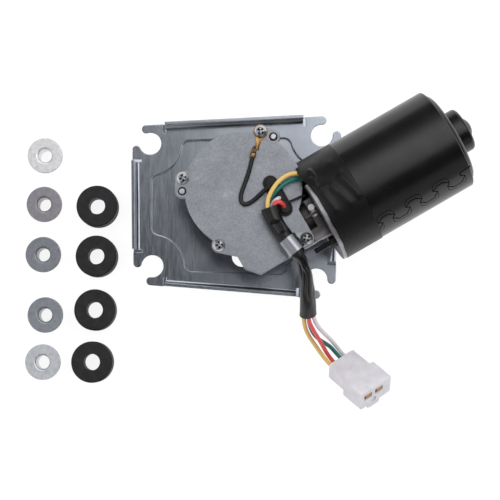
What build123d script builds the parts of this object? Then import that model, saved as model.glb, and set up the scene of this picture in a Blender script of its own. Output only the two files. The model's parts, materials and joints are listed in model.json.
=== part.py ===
# Windscreen wiper motor on its mounting plate, with the plate's loose mounting hardware.
# The frame's origin is where the spindle axis meets the table. +X is to the right and +Y
# is up when the gear cover is looked at, and +Z points from the table to the cover.
# All sizes are in millimetres.

import os
from math import asin, cos, degrees, pi, radians, sin, tan

from build123d import *

os.makedirs("parts", exist_ok=True)

# Mounting plate
plate_height = 14.5
plate_t = 2.0
recess_depth = 3.5
recess_fillet = 5.0
recess_corners = [(-55.7, 34.2), (-55.7, -43.9), (43.5, -47.3), (45.5, 36.6)]
press_fillet = 1.1
slot_r = 6.6
slot_clear_r = 19.0
finger_r = 2.5
flange_rise = 12.0
bend_inside_r = 2.0
relief = 1.5
access_hole_r = 6.25
access_hole_at = (-1.0, -35.5)
foot_radius = 24.0
foot_count = 3
foot_start_angle = 45.0
foot_rib_t = 2.6
foot_rib_rise = 4.0
floor_rib_rise = 10.0
plate_screw_r = 3.0
plate_screw_hole_r = 3.3
plate_screw_head_r = 5.0
plate_screw_head_t = 4.0
plate_screw_length = 14.0

# Spindle and its bearing
spindle_r = 5.0
spindle_chamfer = 0.6
thread_r = 4.0
thread_length = 7.0
taper_length = 4.8
clip_groove_r = 4.2
clip_t = 0.9
clip_r = 7.0
spindle_washer_r = 8.0
spindle_washer_t = 0.7
end_play = 0.1
running_clearance = 0.03
bush_r = 7.0
bearing_boss_r = 12.0
boss_hole_clearance = 0.8
thrust_washer_t = 0.8
thrust_washer_r = 9.0
thrust_washer_gap = 0.1

# Worm and worm wheel
gear_module = 1.0
wheel_teeth = 55
worm_pitch_r = 4.5
addendum = 0.9
dedendum = 1.15
backlash = 0.32
pressure_angle = 20.0
wheel_width = 10.0
wheel_web_t = 4.0
wheel_rim_t = 3.0
wheel_hub_r = 9.0
worm_turns = 8
worm_runout = 1.0
thread_sink = 0.1
park_disc_r = 22.0
park_disc_hole_r = 11.0
park_disc_t = 0.8
park_notch_angle = 34.0

# Gear case and cover
motor_tilt = 30.0
motor_room = 2.0
case_floor_t = 2.5
case_floor_drop = 9.0
case_rise = 13.0
case_inset = 0.7
gasket_t = 0.5
gasket_inset = 0.2
cover_t = 1.5
cover_edge = 0.4
cover_r = 33.9
wheel_room = 1.7
lobe_height = 12.0
screw_lobe_r = 4.3
screw_lobe_reach = 10.3
pin_lobe_r = 4.1
corner_lobe_r = 4.7
lobe_root_r = 9.0
case_corner_r = 1.4
case_bottom_corner = (-14.9, -45.9)
case_end_corner = (-20.9, -39.0)
case_end_x = -21.1
corner_lobe_root = (-16.0, -14.0)
cover_screw_r = 2.0
cover_screw_hole_r = 2.2
cover_screw_length = 10.0
cover_screw_head_r = 3.5
cover_screw_head_t = 2.6
cover_screw_edge_r = 1.3
cross_recess = (3.6, 0.8, 1.3)
locating_pin_r = 1.7
locating_hole_r = 2.45
locating_pin_length = 9.0
locating_pin_stand = 1.0
locating_pin_chamfer = 0.4
cover_screws_at = [(25.1, 24.0), (-26.9, 23.0), (-28.1, -20.7), (17.1, -42.4)]
locating_pins_at = [(30.0, 17.9), (-31.0, 16.8)]
worm_room_r = 8.3
worm_room_ends = (-15.0, 18.0)
worm_room_shift = 2.0
neck_r = 15.0
neck_start = 15.0
neck_channel_r = 12.5
neck_channel = (21.8, 26.0)
neck_rib_t = 1.2
neck_rib_angles = (20, 55, 90, 125, 160, 270)
pad_width = 18.0
pad_length = 5.0
pad_rise = 1.0
pad_boss_shift = 1.8
pad_boss_r = 2.2
pad_boss_gap = 4.0
motor_flange_t = 4.0
motor_start = 35.0
bearing_seat_length = 7.0
shaft_bush_r = 5.5
end_bush_r = 4.0
end_bush_length = 4.0
thrust_pad_t = 1.0
lead_notch = (5.6, 16.5)
lead_notch_rise = 11.0
shaft_bore_gap = 1.2

# Motor
ring_r = 31.0
ring_t = 2.2
ring_length = 82.0
ring_gap = 1.0
can_t = 1.2
can_length = 86.0
can_corner_r = 4.5
end_boss_r = 13.25
end_boss_length = 9.5
end_boss_corner_r = 2.4
end_groove_depth = 0.7
end_groove_width = 1.6
dome_r = 7.0
dome_rise = 3.5
seam_angle = 142.5
seam_period = 18.1
seam_start = 2.4
seam_end_rise = 4.4
seam_end_r = 1.2
seam_width = 0.35
seam_turns = [
    (0.0, 1.0, 1.2), (0.0, 6.6, 3.5), (10.7, 6.6, 3.5), (10.7, 1.3, 1.0),
    (9.1, -0.6, 1.0), (9.1, -6.6, 3.5), (20.8, -6.6, 3.5), (20.8, 1.0, 1.2),
]
seam_depth = 0.9
tape_t = 0.4
tape_gap = 0.05
tape_length = 21.5
magnet_t = 6.4
magnet_start = 62.0
magnet_length = 42.0
magnet_span = 124.0
air_gap = 0.7
shaft_r = 3.0
shaft_chamfer = 0.5
worm_end_r = 2.5
core_start = 66.0
core_length = 34.0
core_slots = 12
slot_mouth = 1.8
slot_mouth_depth = 1.4
slot_depth = 9.0
slot_land = 1.2
winding_step = 3.0
winding_gap = 1.5
winding_edge_r = 2.5
winding_length = 7.0
commutator_r = 10.0
commutator_start = 40.0
commutator_length = 14.0
commutator_bars = 12
bar_gap = 0.6
bar_gap_depth = 0.8
brush_plate_t = 2.5
brush_plate_start = 35.0
brush_length = 9.0
brush_width = 5.0
brush_depth = 7.0
brush_gap = 0.3
brush_offset = 1.5
brush_wall = 1.2
brush_plate_gap = 4.0
bolt_wall_gap = 0.3
bolt_hole_gap = 0.2
bolt_angle = 143.0
bolt_r = 1.5
bolt_near_end = 17.5
bolt_nut_r = 2.9
bolt_nut_t = 3.0
bolt_head_r = 3.0
bolt_head_t = 2.5
rear_bush_r = 6.5
rear_bush_length = 7.0
shaft_room = 2.0

# Wires and what holds them
wire_r = 1.25
braid_r = 0.8
grommet_at = (15.1, -13.0)
grommet_length = 25.7
grommet_lip_r = 4.3
grommet_neck_r = 3.5
grommet_block_r = 2.8
grommet_lip_t = 1.4
grommet_block_t = 3.5
grommet_block_edge_r = 0.6
board_t = 1.6
board_at = (13.5, 0.0)
board_size = (17.0, 30.0)
finger_gap = 0.3
finger_width = 2.2
finger_t = 0.4
finger_radii = (13.0, 16.5, 20.0)
finger_root = 10.0
finger_bend = 5.0
finger_foot = 1.5
finger_toe = 2.0
finger_toe_rise = 0.6
finger_bend_shift = 0.2
sleeve_r = 4.7
sleeve_wall = 0.6
clip_band_t = 0.8
clip_band_width = 9.7
clip_gap = 0.15
clip_shift = 2.2
clip_ear_start = 1.5
clip_ear_corner_r = 1.0
terminal_r = 4.0
terminal_t = 0.8
terminal_neck_r = 1.5
crimp_r = 1.9
crimp_length = 5.4

# Connector
connector_at = (68.6, -108.6, 17.1)
connector_axis = (0.641, -0.563, 0.524)
connector_across = (0.767, 0.470, -0.437)
connector_length = 31.0
connector_front = (24.4, 14.2)
connector_rear = (20.0, 12.4)
connector_front_length = 15.5
connector_corner_r = 1.6
connector_edge_r = 0.6
connector_slot = (7.2, 2.4)
connector_slot_spacing = 9.4
connector_slot_rise = 2.0
connector_key_r = 1.8
connector_key_drop = 3.6
blade_size = (6.3, 0.8)
blade_length = 12.0
blade_recess = 2.0
wire_entry = 8.0

# Loose hardware
loose_flange_r = 10.75
loose_flange_t = 1.6
loose_tube_r = 4.95
loose_bore_r = 4.1
loose_sleeve_height = 14.0
loose_mouth_r = 1.2
loose_edge = 0.3
grommet_r = 12.5
grommet_bore_r = 4.95
grommet_groove_r = 6.5
grommet_height = 13.0
grommet_edge_r = 1.2
grommet_groove_gap = 0.2
loose_sleeves_at = [(-120.7, 26.0), (-121.0, -3.7), (-121.4, -34.2), (-119.9, -70.7), (-121.2, -99.1)]
loose_grommets_at = [(-89.2, -4.6), (-89.5, -35.0), (-90.2, -67.6), (-91.8, -99.1)]

# Levels above the table that follow from these sizes
panel_top = plate_height + plate_t
rim_top = panel_top + recess_depth
rim_under = rim_top - plate_t
motor_height = rim_top + motor_room + ring_r
floor_top = motor_height - case_floor_drop
floor_under = floor_top - case_floor_t
case_top = motor_height + case_rise
cover_under = case_top + gasket_t
cover_top = cover_under + cover_t
wheel_pitch_r = gear_module * wheel_teeth / 2
worm_offset = wheel_pitch_r + worm_pitch_r
wheel_tip_r = wheel_pitch_r + addendum
wheel_room_r = wheel_tip_r + wheel_room
lead_angle = degrees(asin(gear_module / (2 * worm_pitch_r)))
neck_end = motor_start - motor_flange_t
can_r = ring_r - ring_t
can_inner_r = can_r - can_t
bolt_radius = can_inner_r - bolt_head_r - bolt_wall_gap

# The gear case's frame: its x runs along the motor, its y up and to the left
CASE = Plane(
    origin=(0, 0, 0),
    x_dir=(cos(radians(motor_tilt)), sin(radians(motor_tilt)), 0),
    z_dir=(0, 0, 1),
)


def case_point(along, across, height):
    """A point of the gear case's frame in the part's own frame."""
    return CASE.from_local_coords(Vector(along, across, height))


def level(height):
    """The case's plan at a height above the table."""
    return CASE.offset(height)


def station(along):
    """The plane across the motor at a distance from the spindle; its y is up."""
    return Plane(
        origin=case_point(along, -worm_offset, motor_height),
        x_dir=CASE.y_dir,
        z_dir=CASE.x_dir,
    )


# The plane through the motor's axis: x along the motor, y up
PROFILE = Plane(
    origin=case_point(0, -worm_offset, motor_height),
    x_dir=CASE.x_dir,
    z_dir=-CASE.y_dir,
)
MOTOR_AXIS = Axis(PROFILE.origin, CASE.x_dir)


def polar(radius, angle):
    """A flat offset of that length at that angle in degrees."""
    return Vector(radius * cos(radians(angle)), radius * sin(radians(angle)))


# Mounting plate: each corner is an open slot between two fingers, given by the
# slot's centre and the angles of the two finger tips
corners = {
    "top_left": ((-56.5, 32.5), 107.0, 204.0),
    "bottom_left": ((-55.0, -41.5), 169.0, 263.0),
    "bottom_right": ((43.5, -49.5), 269.0, 359.0),
    "top_right": ((47.0, 37.5), 0.0, 88.0),
}


def finger_tip(corner, which):
    """The centre of a finger's round end."""
    centre = corners[corner][0]
    return Vector(*centre) + polar(slot_r + finger_r, corners[corner][which])


# Each folded edge runs between two finger tips, with a gap at each end
folded_edges = [
    (finger_tip("bottom_left", 1), finger_tip("top_left", 2), 8.2, 7.4, 1),
    (finger_tip("top_left", 1), finger_tip("top_right", 2), 11.9, 11.6, 1),
    (finger_tip("bottom_right", 1), finger_tip("bottom_left", 2), 12.0, 9.4, 1),
    (finger_tip("top_right", 1), finger_tip("bottom_right", 2), 7.5, 10.7, -1),
]

with BuildSketch() as recess_plan:
    Polygon(*recess_corners, align=None)
    for slot_centre, first, last in corners.values():
        with Locations(slot_centre):
            Circle(slot_clear_r, mode=Mode.SUBTRACT)
    fillet(recess_plan.vertices(), radius=recess_fillet)

with BuildPart() as mounting_plate:
    with BuildSketch(Plane.XY.offset(rim_under)):
        for name in corners:
            with Locations(finger_tip(name, 1), finger_tip(name, 2)):
                Circle(finger_r)
        make_hull()
        for slot_centre, first, last in corners.values():
            with Locations(slot_centre):
                Circle(slot_r, mode=Mode.SUBTRACT)
            middle = (first + last) / 2
            mouth = [Vector(*slot_centre) + polar(4 * slot_r, a) for a in (first, middle, last)]
            Polygon(Vector(*slot_centre), *mouth, align=None, mode=Mode.SUBTRACT)
        for name in corners:
            with Locations(finger_tip(name, 1), finger_tip(name, 2)):
                Circle(finger_r)
    extrude(amount=plate_t)
    with BuildSketch(Plane.XY.offset(plate_height)):
        add(recess_plan.sketch)
        offset(amount=plate_t)
    extrude(amount=rim_top - plate_height)
    with BuildSketch(Plane.XY.offset(panel_top)):
        add(recess_plan.sketch)
    extrude(amount=recess_depth, mode=Mode.SUBTRACT)
    press_edges = mounting_plate.edges().group_by(Axis.Z)
    fillet(press_edges[0], radius=press_fillet)
    for start_tip, end_tip, start_gap, end_gap, side in folded_edges:
        along = (end_tip - start_tip).normalized()
        outward = along.rotate(Axis.Z, 90)
        outward = outward if outward.dot(start_tip) > 0 else -outward
        fold_length = (end_tip - start_tip).length - start_gap - end_gap
        fold_start = start_tip + along * start_gap + outward * finger_r
        fold_plane = Plane(
            origin=(fold_start.X, fold_start.Y, rim_top - plate_t / 2),
            x_dir=outward,
            z_dir=outward.cross(Vector(0, 0, side)),
        )
        run = fold_length if fold_plane.z_dir.dot(along) > 0 else -fold_length
        bend_r = bend_inside_r + plate_t
        wall_end = flange_rise if side > 0 else rim_top - plate_t / 2
        with BuildSketch(fold_plane.offset(-relief if run > 0 else relief)):
            with Locations((-bend_r / 2, 0)):
                Rectangle(bend_r + 2 * relief, 2 * plate_t)
        extrude(amount=run + 2 * relief * (1 if run > 0 else -1), mode=Mode.SUBTRACT)
        with BuildSketch(fold_plane):
            with BuildLine():
                Line((-bend_r - relief, -plate_t / 2), (-bend_r, -plate_t / 2))
                RadiusArc((-bend_r, -plate_t / 2), (0, bend_r - plate_t / 2), -bend_r)
                Line((0, bend_r - plate_t / 2), (0, wall_end))
                Line((0, wall_end), (-plate_t, wall_end))
                Line((-plate_t, wall_end), (-plate_t, bend_r - plate_t / 2))
                RadiusArc((-plate_t, bend_r - plate_t / 2), (-bend_r, plate_t / 2), bend_inside_r)
                Line((-bend_r, plate_t / 2), (-bend_r - relief, plate_t / 2))
                Line((-bend_r - relief, plate_t / 2), (-bend_r - relief, -plate_t / 2))
            make_face()
        extrude(amount=run)
    with BuildSketch(level(plate_height)):
        Circle(bearing_boss_r + boss_hole_clearance)
        with PolarLocations(foot_radius, foot_count, start_angle=foot_start_angle):
            Circle(plate_screw_hole_r)
    extrude(amount=plate_t, mode=Mode.SUBTRACT)
    with BuildSketch(Plane.XY.offset(plate_height)):
        with Locations(access_hole_at):
            Circle(access_hole_r)
    extrude(amount=plate_t, mode=Mode.SUBTRACT)
mounting_plate.part.label = "mounting_plate"
export_step(mounting_plate.part, "parts/mounting_plate.step")

# Three hexagon screws hold the gear case on the plate from below
with BuildPart() as plate_screws:
    with BuildSketch(level(plate_height - plate_screw_head_t)):
        with PolarLocations(foot_radius, foot_count, start_angle=foot_start_angle):
            RegularPolygon(plate_screw_head_r, 6, major_radius=False)
    extrude(amount=plate_screw_head_t)
    with BuildSketch(level(plate_height)):
        with PolarLocations(foot_radius, foot_count, start_angle=foot_start_angle):
            Circle(plate_screw_r)
    extrude(amount=plate_screw_length)
plate_screws.part.label = "plate_screws"
export_step(plate_screws.part, "parts/plate_screws.step")


# Plan of the gear case, as its cover shows it: round corners and lobes joined by
# straight lines, each corner's radius grown or shrunk by the same amount
def hull_plan(corner_circles, growth):
    """The outline drawn tight round some circles, each given by its centre and radius."""
    with BuildSketch() as plan:
        for place, radius in corner_circles:
            with Locations(place):
                Circle(radius + growth)
        make_hull()
    return plan.sketch


def case_plan(growth=0.0, lobes=True):
    """The cover's outline, grown by that much."""
    end_y = cover_screws_at[2][1]
    with BuildSketch() as plan:
        Circle(cover_r + growth)
        extension = [
            (cover_screws_at[3], corner_lobe_r), ((cover_screws_at[3][0], end_y), corner_lobe_r),
            (case_bottom_corner, case_corner_r), (case_end_corner, case_corner_r),
            ((case_end_x, end_y), case_corner_r),
        ]
        add(hull_plan(extension, growth))
        if lobes:
            for screw, pin in zip(cover_screws_at, locating_pins_at):
                inner = (screw[0] / 2, screw[1] / 2)
                lobe = [(screw, screw_lobe_r), (pin, pin_lobe_r), (inner, lobe_root_r)]
                add(hull_plan(lobe, growth))
            below = (case_end_x, end_y - screw_lobe_reach)
            lobe = [(cover_screws_at[2], screw_lobe_r), (below, case_corner_r),
                    (corner_lobe_root, lobe_root_r)]
            add(hull_plan(lobe, growth))
    return plan.sketch


with BuildPart() as gear_housing:
    with BuildSketch(level(floor_under)):
        add(case_plan(-case_inset, lobes=False))
    extrude(amount=case_top - lobe_height - floor_under)
    with BuildSketch(level(case_top - lobe_height)):
        add(case_plan(-case_inset))
    extrude(amount=lobe_height)
    with BuildSketch(station(neck_start)):
        Circle(neck_r)
    extrude(amount=neck_end - neck_start)
    with BuildSketch(station(neck_channel[0])):
        Circle(neck_r + 1)
        Circle(neck_channel_r, mode=Mode.SUBTRACT)
    extrude(amount=neck_channel[1] - neck_channel[0], mode=Mode.SUBTRACT)
    with BuildSketch(station(neck_channel[0])):
        for angle in neck_rib_angles:
            with Locations(polar((neck_channel_r + neck_r) / 2, angle)):
                Rectangle(neck_r - neck_channel_r + neck_rib_t, neck_rib_t, rotation=angle)
    extrude(amount=neck_end - neck_channel[0])
    with BuildSketch(level(motor_height)):
        with Locations((neck_end - pad_length / 2, -worm_offset)):
            Rectangle(pad_length, pad_width)
    extrude(amount=case_rise + gasket_t + pad_rise)
    with BuildSketch(level(motor_height)):
        with Locations((neck_end - pad_length / 2, -worm_offset + pad_boss_shift)):
            SlotCenterToCenter(pad_boss_gap, 2 * pad_boss_r, rotation=90)
    extrude(amount=case_rise + gasket_t + cover_t)
    with BuildSketch(station(neck_end)):
        Circle(ring_r)
    extrude(amount=motor_flange_t)
    with BuildSketch(level(plate_height)):
        Circle(bearing_boss_r)
    extrude(amount=floor_under - plate_height)
    with BuildSketch(level(panel_top)):
        with PolarLocations(foot_radius, foot_count, start_angle=foot_start_angle):
            Circle(2 * plate_screw_r)
    extrude(amount=floor_under - panel_top)
    with BuildSketch(level(panel_top + foot_rib_rise)):
        rib_start = bearing_boss_r - foot_rib_t
        rib_middle = (rib_start + foot_radius) / 2
        with PolarLocations(rib_middle, foot_count, start_angle=foot_start_angle):
            Rectangle(foot_radius - rib_start, foot_rib_t)
    extrude(amount=floor_under - panel_top - foot_rib_rise)
    with BuildSketch(level(panel_top + floor_rib_rise)):
        with PolarLocations(rib_middle, foot_count, start_angle=foot_start_angle + 60):
            Rectangle(foot_radius - rib_start, foot_rib_t)
    extrude(amount=floor_under - panel_top - floor_rib_rise)
    # The wheel's and the worm's room
    with BuildSketch(level(floor_top)):
        Circle(wheel_room_r)
        room_length = worm_room_ends[1] - worm_room_ends[0]
        with Locations((sum(worm_room_ends) / 2, -worm_offset + worm_room_shift)):
            Rectangle(room_length, 2 * (worm_room_r + worm_room_shift))
    extrude(amount=case_top - floor_top + 1, mode=Mode.SUBTRACT)
    with BuildSketch(level(case_top)):
        add(case_plan(cover_edge))
    extrude(amount=ring_r, mode=Mode.SUBTRACT)
    # Bores for the spindle's bush, the shaft, its bushes and the motor's bolts
    with BuildSketch(level(plate_height)):
        Circle(bush_r)
    extrude(amount=floor_top - plate_height, mode=Mode.SUBTRACT)
    with BuildSketch(station(0)):
        Circle(shaft_r + shaft_bore_gap)
    extrude(amount=motor_start, mode=Mode.SUBTRACT)
    with BuildSketch(station(motor_start - bearing_seat_length)):
        Circle(shaft_bush_r)
    extrude(amount=bearing_seat_length, mode=Mode.SUBTRACT)
    with BuildSketch(station(worm_room_ends[0] - end_bush_length - thrust_pad_t)):
        Circle(end_bush_r)
    extrude(amount=end_bush_length + thrust_pad_t, mode=Mode.SUBTRACT)
    with BuildSketch(station(neck_end)):
        with Locations(polar(bolt_radius, bolt_angle), polar(bolt_radius, bolt_angle + 180)):
            Circle(bolt_r)
    extrude(amount=motor_flange_t, mode=Mode.SUBTRACT)
    with BuildSketch(level(motor_height + lead_notch_rise)):
        notch_width = lead_notch[1] - lead_notch[0]
        with Locations((motor_start - motor_flange_t / 2, -sum(lead_notch) / 2)):
            Rectangle(motor_flange_t + end_play, notch_width)
    extrude(amount=ring_r, mode=Mode.SUBTRACT)
    with BuildSketch(level(case_top - cover_screw_length)):
        with Locations(cover_screws_at):
            Circle(cover_screw_r)
    extrude(amount=cover_screw_length, mode=Mode.SUBTRACT)
    with BuildSketch(level(cover_top + locating_pin_stand - locating_pin_length)):
        with Locations(locating_pins_at):
            Circle(locating_pin_r)
    extrude(amount=locating_pin_length, mode=Mode.SUBTRACT)
    with BuildSketch(level(plate_height)):
        with PolarLocations(foot_radius, foot_count, start_angle=foot_start_angle):
            Circle(plate_screw_r)
    extrude(amount=plate_screw_length, mode=Mode.SUBTRACT)
gear_housing.part.label = "gear_housing"
export_step(gear_housing.part, "parts/gear_housing.step")


def grommet_slot(radius):
    """The grommet's oblong outline across the case's plan."""
    with BuildSketch() as plan:
        with Locations(grommet_at):
            SlotCenterToCenter(grommet_length - 2 * grommet_lip_r, 2 * radius, rotation=90)
    return plan.sketch


with BuildPart() as cover_gasket:
    with BuildSketch(level(case_top)):
        add(case_plan(-gasket_inset))
        Circle(wheel_room_r, mode=Mode.SUBTRACT)
        with Locations(cover_screws_at):
            Circle(cover_screw_hole_r, mode=Mode.SUBTRACT)
        with Locations(locating_pins_at):
            Circle(locating_hole_r, mode=Mode.SUBTRACT)
        with Locations((sum(worm_room_ends) / 2, -worm_offset + worm_room_shift)):
            Rectangle(room_length, 2 * (worm_room_r + worm_room_shift), mode=Mode.SUBTRACT)
    extrude(amount=gasket_t)
cover_gasket.part.label = "cover_gasket"
export_step(cover_gasket.part, "parts/cover_gasket.step")

with BuildPart() as gear_cover:
    with BuildSketch(level(cover_under)):
        add(case_plan())
        with Locations(cover_screws_at):
            Circle(cover_screw_hole_r, mode=Mode.SUBTRACT)
        with Locations(locating_pins_at):
            Circle(locating_hole_r, mode=Mode.SUBTRACT)
        add(grommet_slot(grommet_neck_r), mode=Mode.SUBTRACT)
    extrude(amount=cover_t)
    chamfer(gear_cover.faces().sort_by(Axis.Z)[-1].outer_wire().edges(), length=cover_edge)
gear_cover.part.label = "gear_cover"
export_step(gear_cover.part, "parts/gear_cover.step")

with BuildPart() as locating_pins:
    with BuildSketch(level(cover_top + locating_pin_stand - locating_pin_length)):
        with Locations(locating_pins_at):
            Circle(locating_pin_r)
    extrude(amount=locating_pin_length)
    chamfer(locating_pins.edges().group_by(Axis.Z)[-1], length=locating_pin_chamfer)
locating_pins.part.label = "locating_pins"
export_step(locating_pins.part, "parts/locating_pins.step")

# Two screws sit on the cover, one on the ring terminal and one on the clip's ear
seats = [terminal_t, 0.0, 0.0, 2 * clip_band_t]
with BuildPart() as cover_screws:
    for place, seat in zip(cover_screws_at, seats):
        with BuildSketch(level(cover_top + seat)):
            with Locations(place):
                Circle(cover_screw_head_r)
        extrude(amount=cover_screw_head_t)
    top_rims = cover_screws.faces().filter_by(Plane.XY).sort_by(Axis.Z)
    rim_edges = [e for f in top_rims if f.normal_at().Z > 0 for e in f.edges()]
    fillet(rim_edges, radius=cover_screw_edge_r)
    for place, seat in zip(cover_screws_at, seats):
        with BuildSketch(level(case_top - cover_screw_length)):
            with Locations(place):
                Circle(cover_screw_r)
        extrude(amount=cover_top + seat - case_top + cover_screw_length)
    for place, seat in zip(cover_screws_at, seats):
        cross_length, cross_width, cross_depth = cross_recess
        with BuildSketch(level(cover_top + seat + cover_screw_head_t - cross_depth)):
            with Locations(place):
                Rectangle(cross_length, cross_width)
                Rectangle(cross_width, cross_length)
        extrude(amount=cross_depth, mode=Mode.SUBTRACT)
cover_screws.part.label = "cover_screws"
export_step(cover_screws.part, "parts/cover_screws.step")

# Spindle: thread, tapered crank seat, clip groove and shank
groove_z = plate_height - end_play - spindle_washer_t - clip_t
spindle_top = motor_height + wheel_width / 2 + park_disc_t
with BuildPart() as output_spindle:
    with BuildSketch(Plane.XZ):
        with BuildLine():
            Polyline(
                (0, 0),
                (thread_r - spindle_chamfer, 0),
                (thread_r, spindle_chamfer),
                (thread_r, thread_length),
                (spindle_r, thread_length + taper_length),
                (spindle_r, groove_z),
                (clip_groove_r, groove_z),
                (clip_groove_r, groove_z + clip_t),
                (spindle_r, groove_z + clip_t),
                (spindle_r, spindle_top),
                (0, spindle_top),
                (0, 0),
            )
        make_face()
    revolve(axis=Axis.Z)
output_spindle.part.label = "output_spindle"
export_step(output_spindle.part, "parts/output_spindle.step")

with BuildPart() as spindle_clip:
    with BuildSketch(Plane.XY.offset(groove_z)):
        Circle(clip_r)
        Circle(clip_groove_r, mode=Mode.SUBTRACT)
        with Locations((0, -clip_r)):
            Rectangle(clip_groove_r, 2 * clip_r, mode=Mode.SUBTRACT)
    extrude(amount=clip_t)
spindle_clip.part.label = "spindle_clip"
export_step(spindle_clip.part, "parts/spindle_clip.step")

with BuildPart() as spindle_washer:
    with BuildSketch(Plane.XY.offset(groove_z + clip_t)):
        Circle(spindle_washer_r)
        Circle(spindle_r, mode=Mode.SUBTRACT)
    extrude(amount=spindle_washer_t)
spindle_washer.part.label = "spindle_washer"
export_step(spindle_washer.part, "parts/spindle_washer.step")

with BuildPart() as spindle_bush:
    with BuildSketch(Plane.XY.offset(plate_height)):
        Circle(bush_r)
        Circle(spindle_r + running_clearance, mode=Mode.SUBTRACT)
    extrude(amount=floor_top - plate_height)
spindle_bush.part.label = "spindle_bush"
export_step(spindle_bush.part, "parts/spindle_bush.step")

with BuildPart() as thrust_washer:
    with BuildSketch(Plane.XY.offset(floor_top)):
        Circle(thrust_washer_r)
        Circle(spindle_r + thrust_washer_gap, mode=Mode.SUBTRACT)
    extrude(amount=thrust_washer_t)
thrust_washer.part.label = "thrust_washer"
export_step(thrust_washer.part, "parts/thrust_washer.step")


def wheel_plan(turn):
    """The wheel's toothed outline, turned by that many degrees."""
    flank = tan(radians(pressure_angle))
    half_pitch = (gear_module * pi / 2 - backlash) / 2
    half_tip = half_pitch - addendum * flank
    half_root = half_pitch + dedendum * flank
    root_r = wheel_pitch_r - dedendum
    points = []
    for tooth in range(wheel_teeth):
        middle = turn + 360 * tooth / wheel_teeth
        for radius, half in ((root_r, -half_root), (wheel_tip_r, -half_tip),
                             (wheel_tip_r, half_tip), (root_r, half_root)):
            points.append(polar(radius, middle + degrees(half / radius)))
    with BuildSketch() as plan:
        Polygon(*points, align=None)
    return plan.sketch


# A tooth gap of the wheel faces the worm at rest; the teeth lean by the lead angle
lean = degrees(wheel_width / 2 * tan(radians(lead_angle)) / wheel_pitch_r)
mesh_turn = motor_tilt - 90 + 180 / wheel_teeth
wheel_under = motor_height - wheel_width / 2
hub_under = floor_top + thrust_washer_t + end_play
with BuildPart() as worm_wheel:
    with BuildSketch(Plane.XY.offset(wheel_under)):
        add(wheel_plan(mesh_turn - lean))
    with BuildSketch(Plane.XY.offset(wheel_under + wheel_width)):
        add(wheel_plan(mesh_turn + lean))
    loft(ruled=True)
    rim_inner_r = wheel_pitch_r - dedendum - wheel_rim_t
    with BuildSketch(Plane.XY.offset(wheel_under)):
        Circle(rim_inner_r)
        Circle(wheel_hub_r, mode=Mode.SUBTRACT)
    extrude(amount=(wheel_width - wheel_web_t) / 2, mode=Mode.SUBTRACT)
    with BuildSketch(Plane.XY.offset(wheel_under + wheel_width)):
        Circle(rim_inner_r)
        Circle(park_disc_r, mode=Mode.SUBTRACT)
    extrude(amount=-(wheel_width - wheel_web_t) / 2, mode=Mode.SUBTRACT)
    with BuildSketch(Plane.XY.offset(hub_under)):
        Circle(wheel_hub_r)
    extrude(amount=wheel_under - hub_under)
    with BuildSketch(Plane.XY.offset(hub_under)):
        Circle(spindle_r)
    extrude(amount=2 * wheel_width, mode=Mode.SUBTRACT)
worm_wheel.part.label = "worm_wheel"
export_step(worm_wheel.part, "parts/worm_wheel.step")

with BuildPart() as park_disc:
    with BuildSketch(Plane.XY.offset(wheel_under + wheel_width)):
        Circle(park_disc_r)
        Circle(park_disc_hole_r, mode=Mode.SUBTRACT)
        with BuildLine():
            notch_outer_r = 1.1 * park_disc_r / cos(radians(park_notch_angle / 2))
            outer_a = polar(notch_outer_r, -park_notch_angle / 2)
            outer_b = polar(notch_outer_r, park_notch_angle / 2)
            inner_b = polar(finger_radii[1], park_notch_angle / 2)
            inner_a = polar(finger_radii[1], -park_notch_angle / 2)
            Polyline(inner_a, outer_a, outer_b, inner_b)
            RadiusArc(inner_b, inner_a, finger_radii[1])
        make_face(mode=Mode.SUBTRACT)
    extrude(amount=park_disc_t)
park_disc.part.label = "park_disc"
export_step(park_disc.part, "parts/park_disc.step")

# Armature shaft with the worm cut on it
lead = pi * gear_module
worm_length = worm_turns * lead
worm_tip_r = worm_pitch_r + addendum
worm_root_r = worm_pitch_r - dedendum
shaft_start = worm_room_ends[0] - end_bush_length
can_end = motor_start + can_length
shaft_end = can_end - can_t + rear_bush_length + shaft_room - 5 * end_play
with BuildPart() as armature_shaft:
    with BuildSketch(PROFILE):
        with BuildLine():
            Polyline(
                (shaft_start, 0),
                (shaft_start, worm_end_r - shaft_chamfer),
                (shaft_start + shaft_chamfer, worm_end_r),
                (-worm_length / 2 - worm_runout, worm_end_r),
                (-worm_length / 2 - worm_runout, worm_root_r),
                (worm_length / 2 + worm_runout, worm_root_r),
                (worm_length / 2 + 2 * worm_runout, shaft_r),
                (shaft_end - shaft_chamfer, shaft_r),
                (shaft_end, shaft_r - shaft_chamfer),
                (shaft_end, 0),
                (shaft_start, 0),
            )
        make_face()
    revolve(axis=MOTOR_AXIS)
    flank = tan(radians(pressure_angle))
    half_pitch = (lead / 2 - backlash) / 2
    half_tip = half_pitch - addendum * flank
    half_root = half_pitch + dedendum * flank
    sunk_r = worm_root_r - thread_sink
    helix_plane = Plane(origin=station(0).origin, z_dir=CASE.x_dir)
    start_angle = station(0).x_dir.get_signed_angle(helix_plane.x_dir, CASE.x_dir)
    worm_start = station(-worm_length / 2 - lead * start_angle / 360).origin
    with BuildLine():
        thread_line = Helix(
            pitch=lead, height=worm_length, radius=sunk_r, center=worm_start,
            direction=CASE.x_dir,
        )
    thread_plane = Plane(
        origin=thread_line @ 0, x_dir=thread_line @ 0 - worm_start, z_dir=thread_line % 0
    )
    with BuildSketch(thread_plane):
        Polygon(
            (0, -half_root), (worm_tip_r - sunk_r, -half_tip), (worm_tip_r - sunk_r, half_tip),
            (0, half_root), align=None,
        )
    sweep(is_frenet=True)
armature_shaft.part.label = "armature_shaft"
export_step(armature_shaft.part, "parts/armature_shaft.step")

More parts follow.
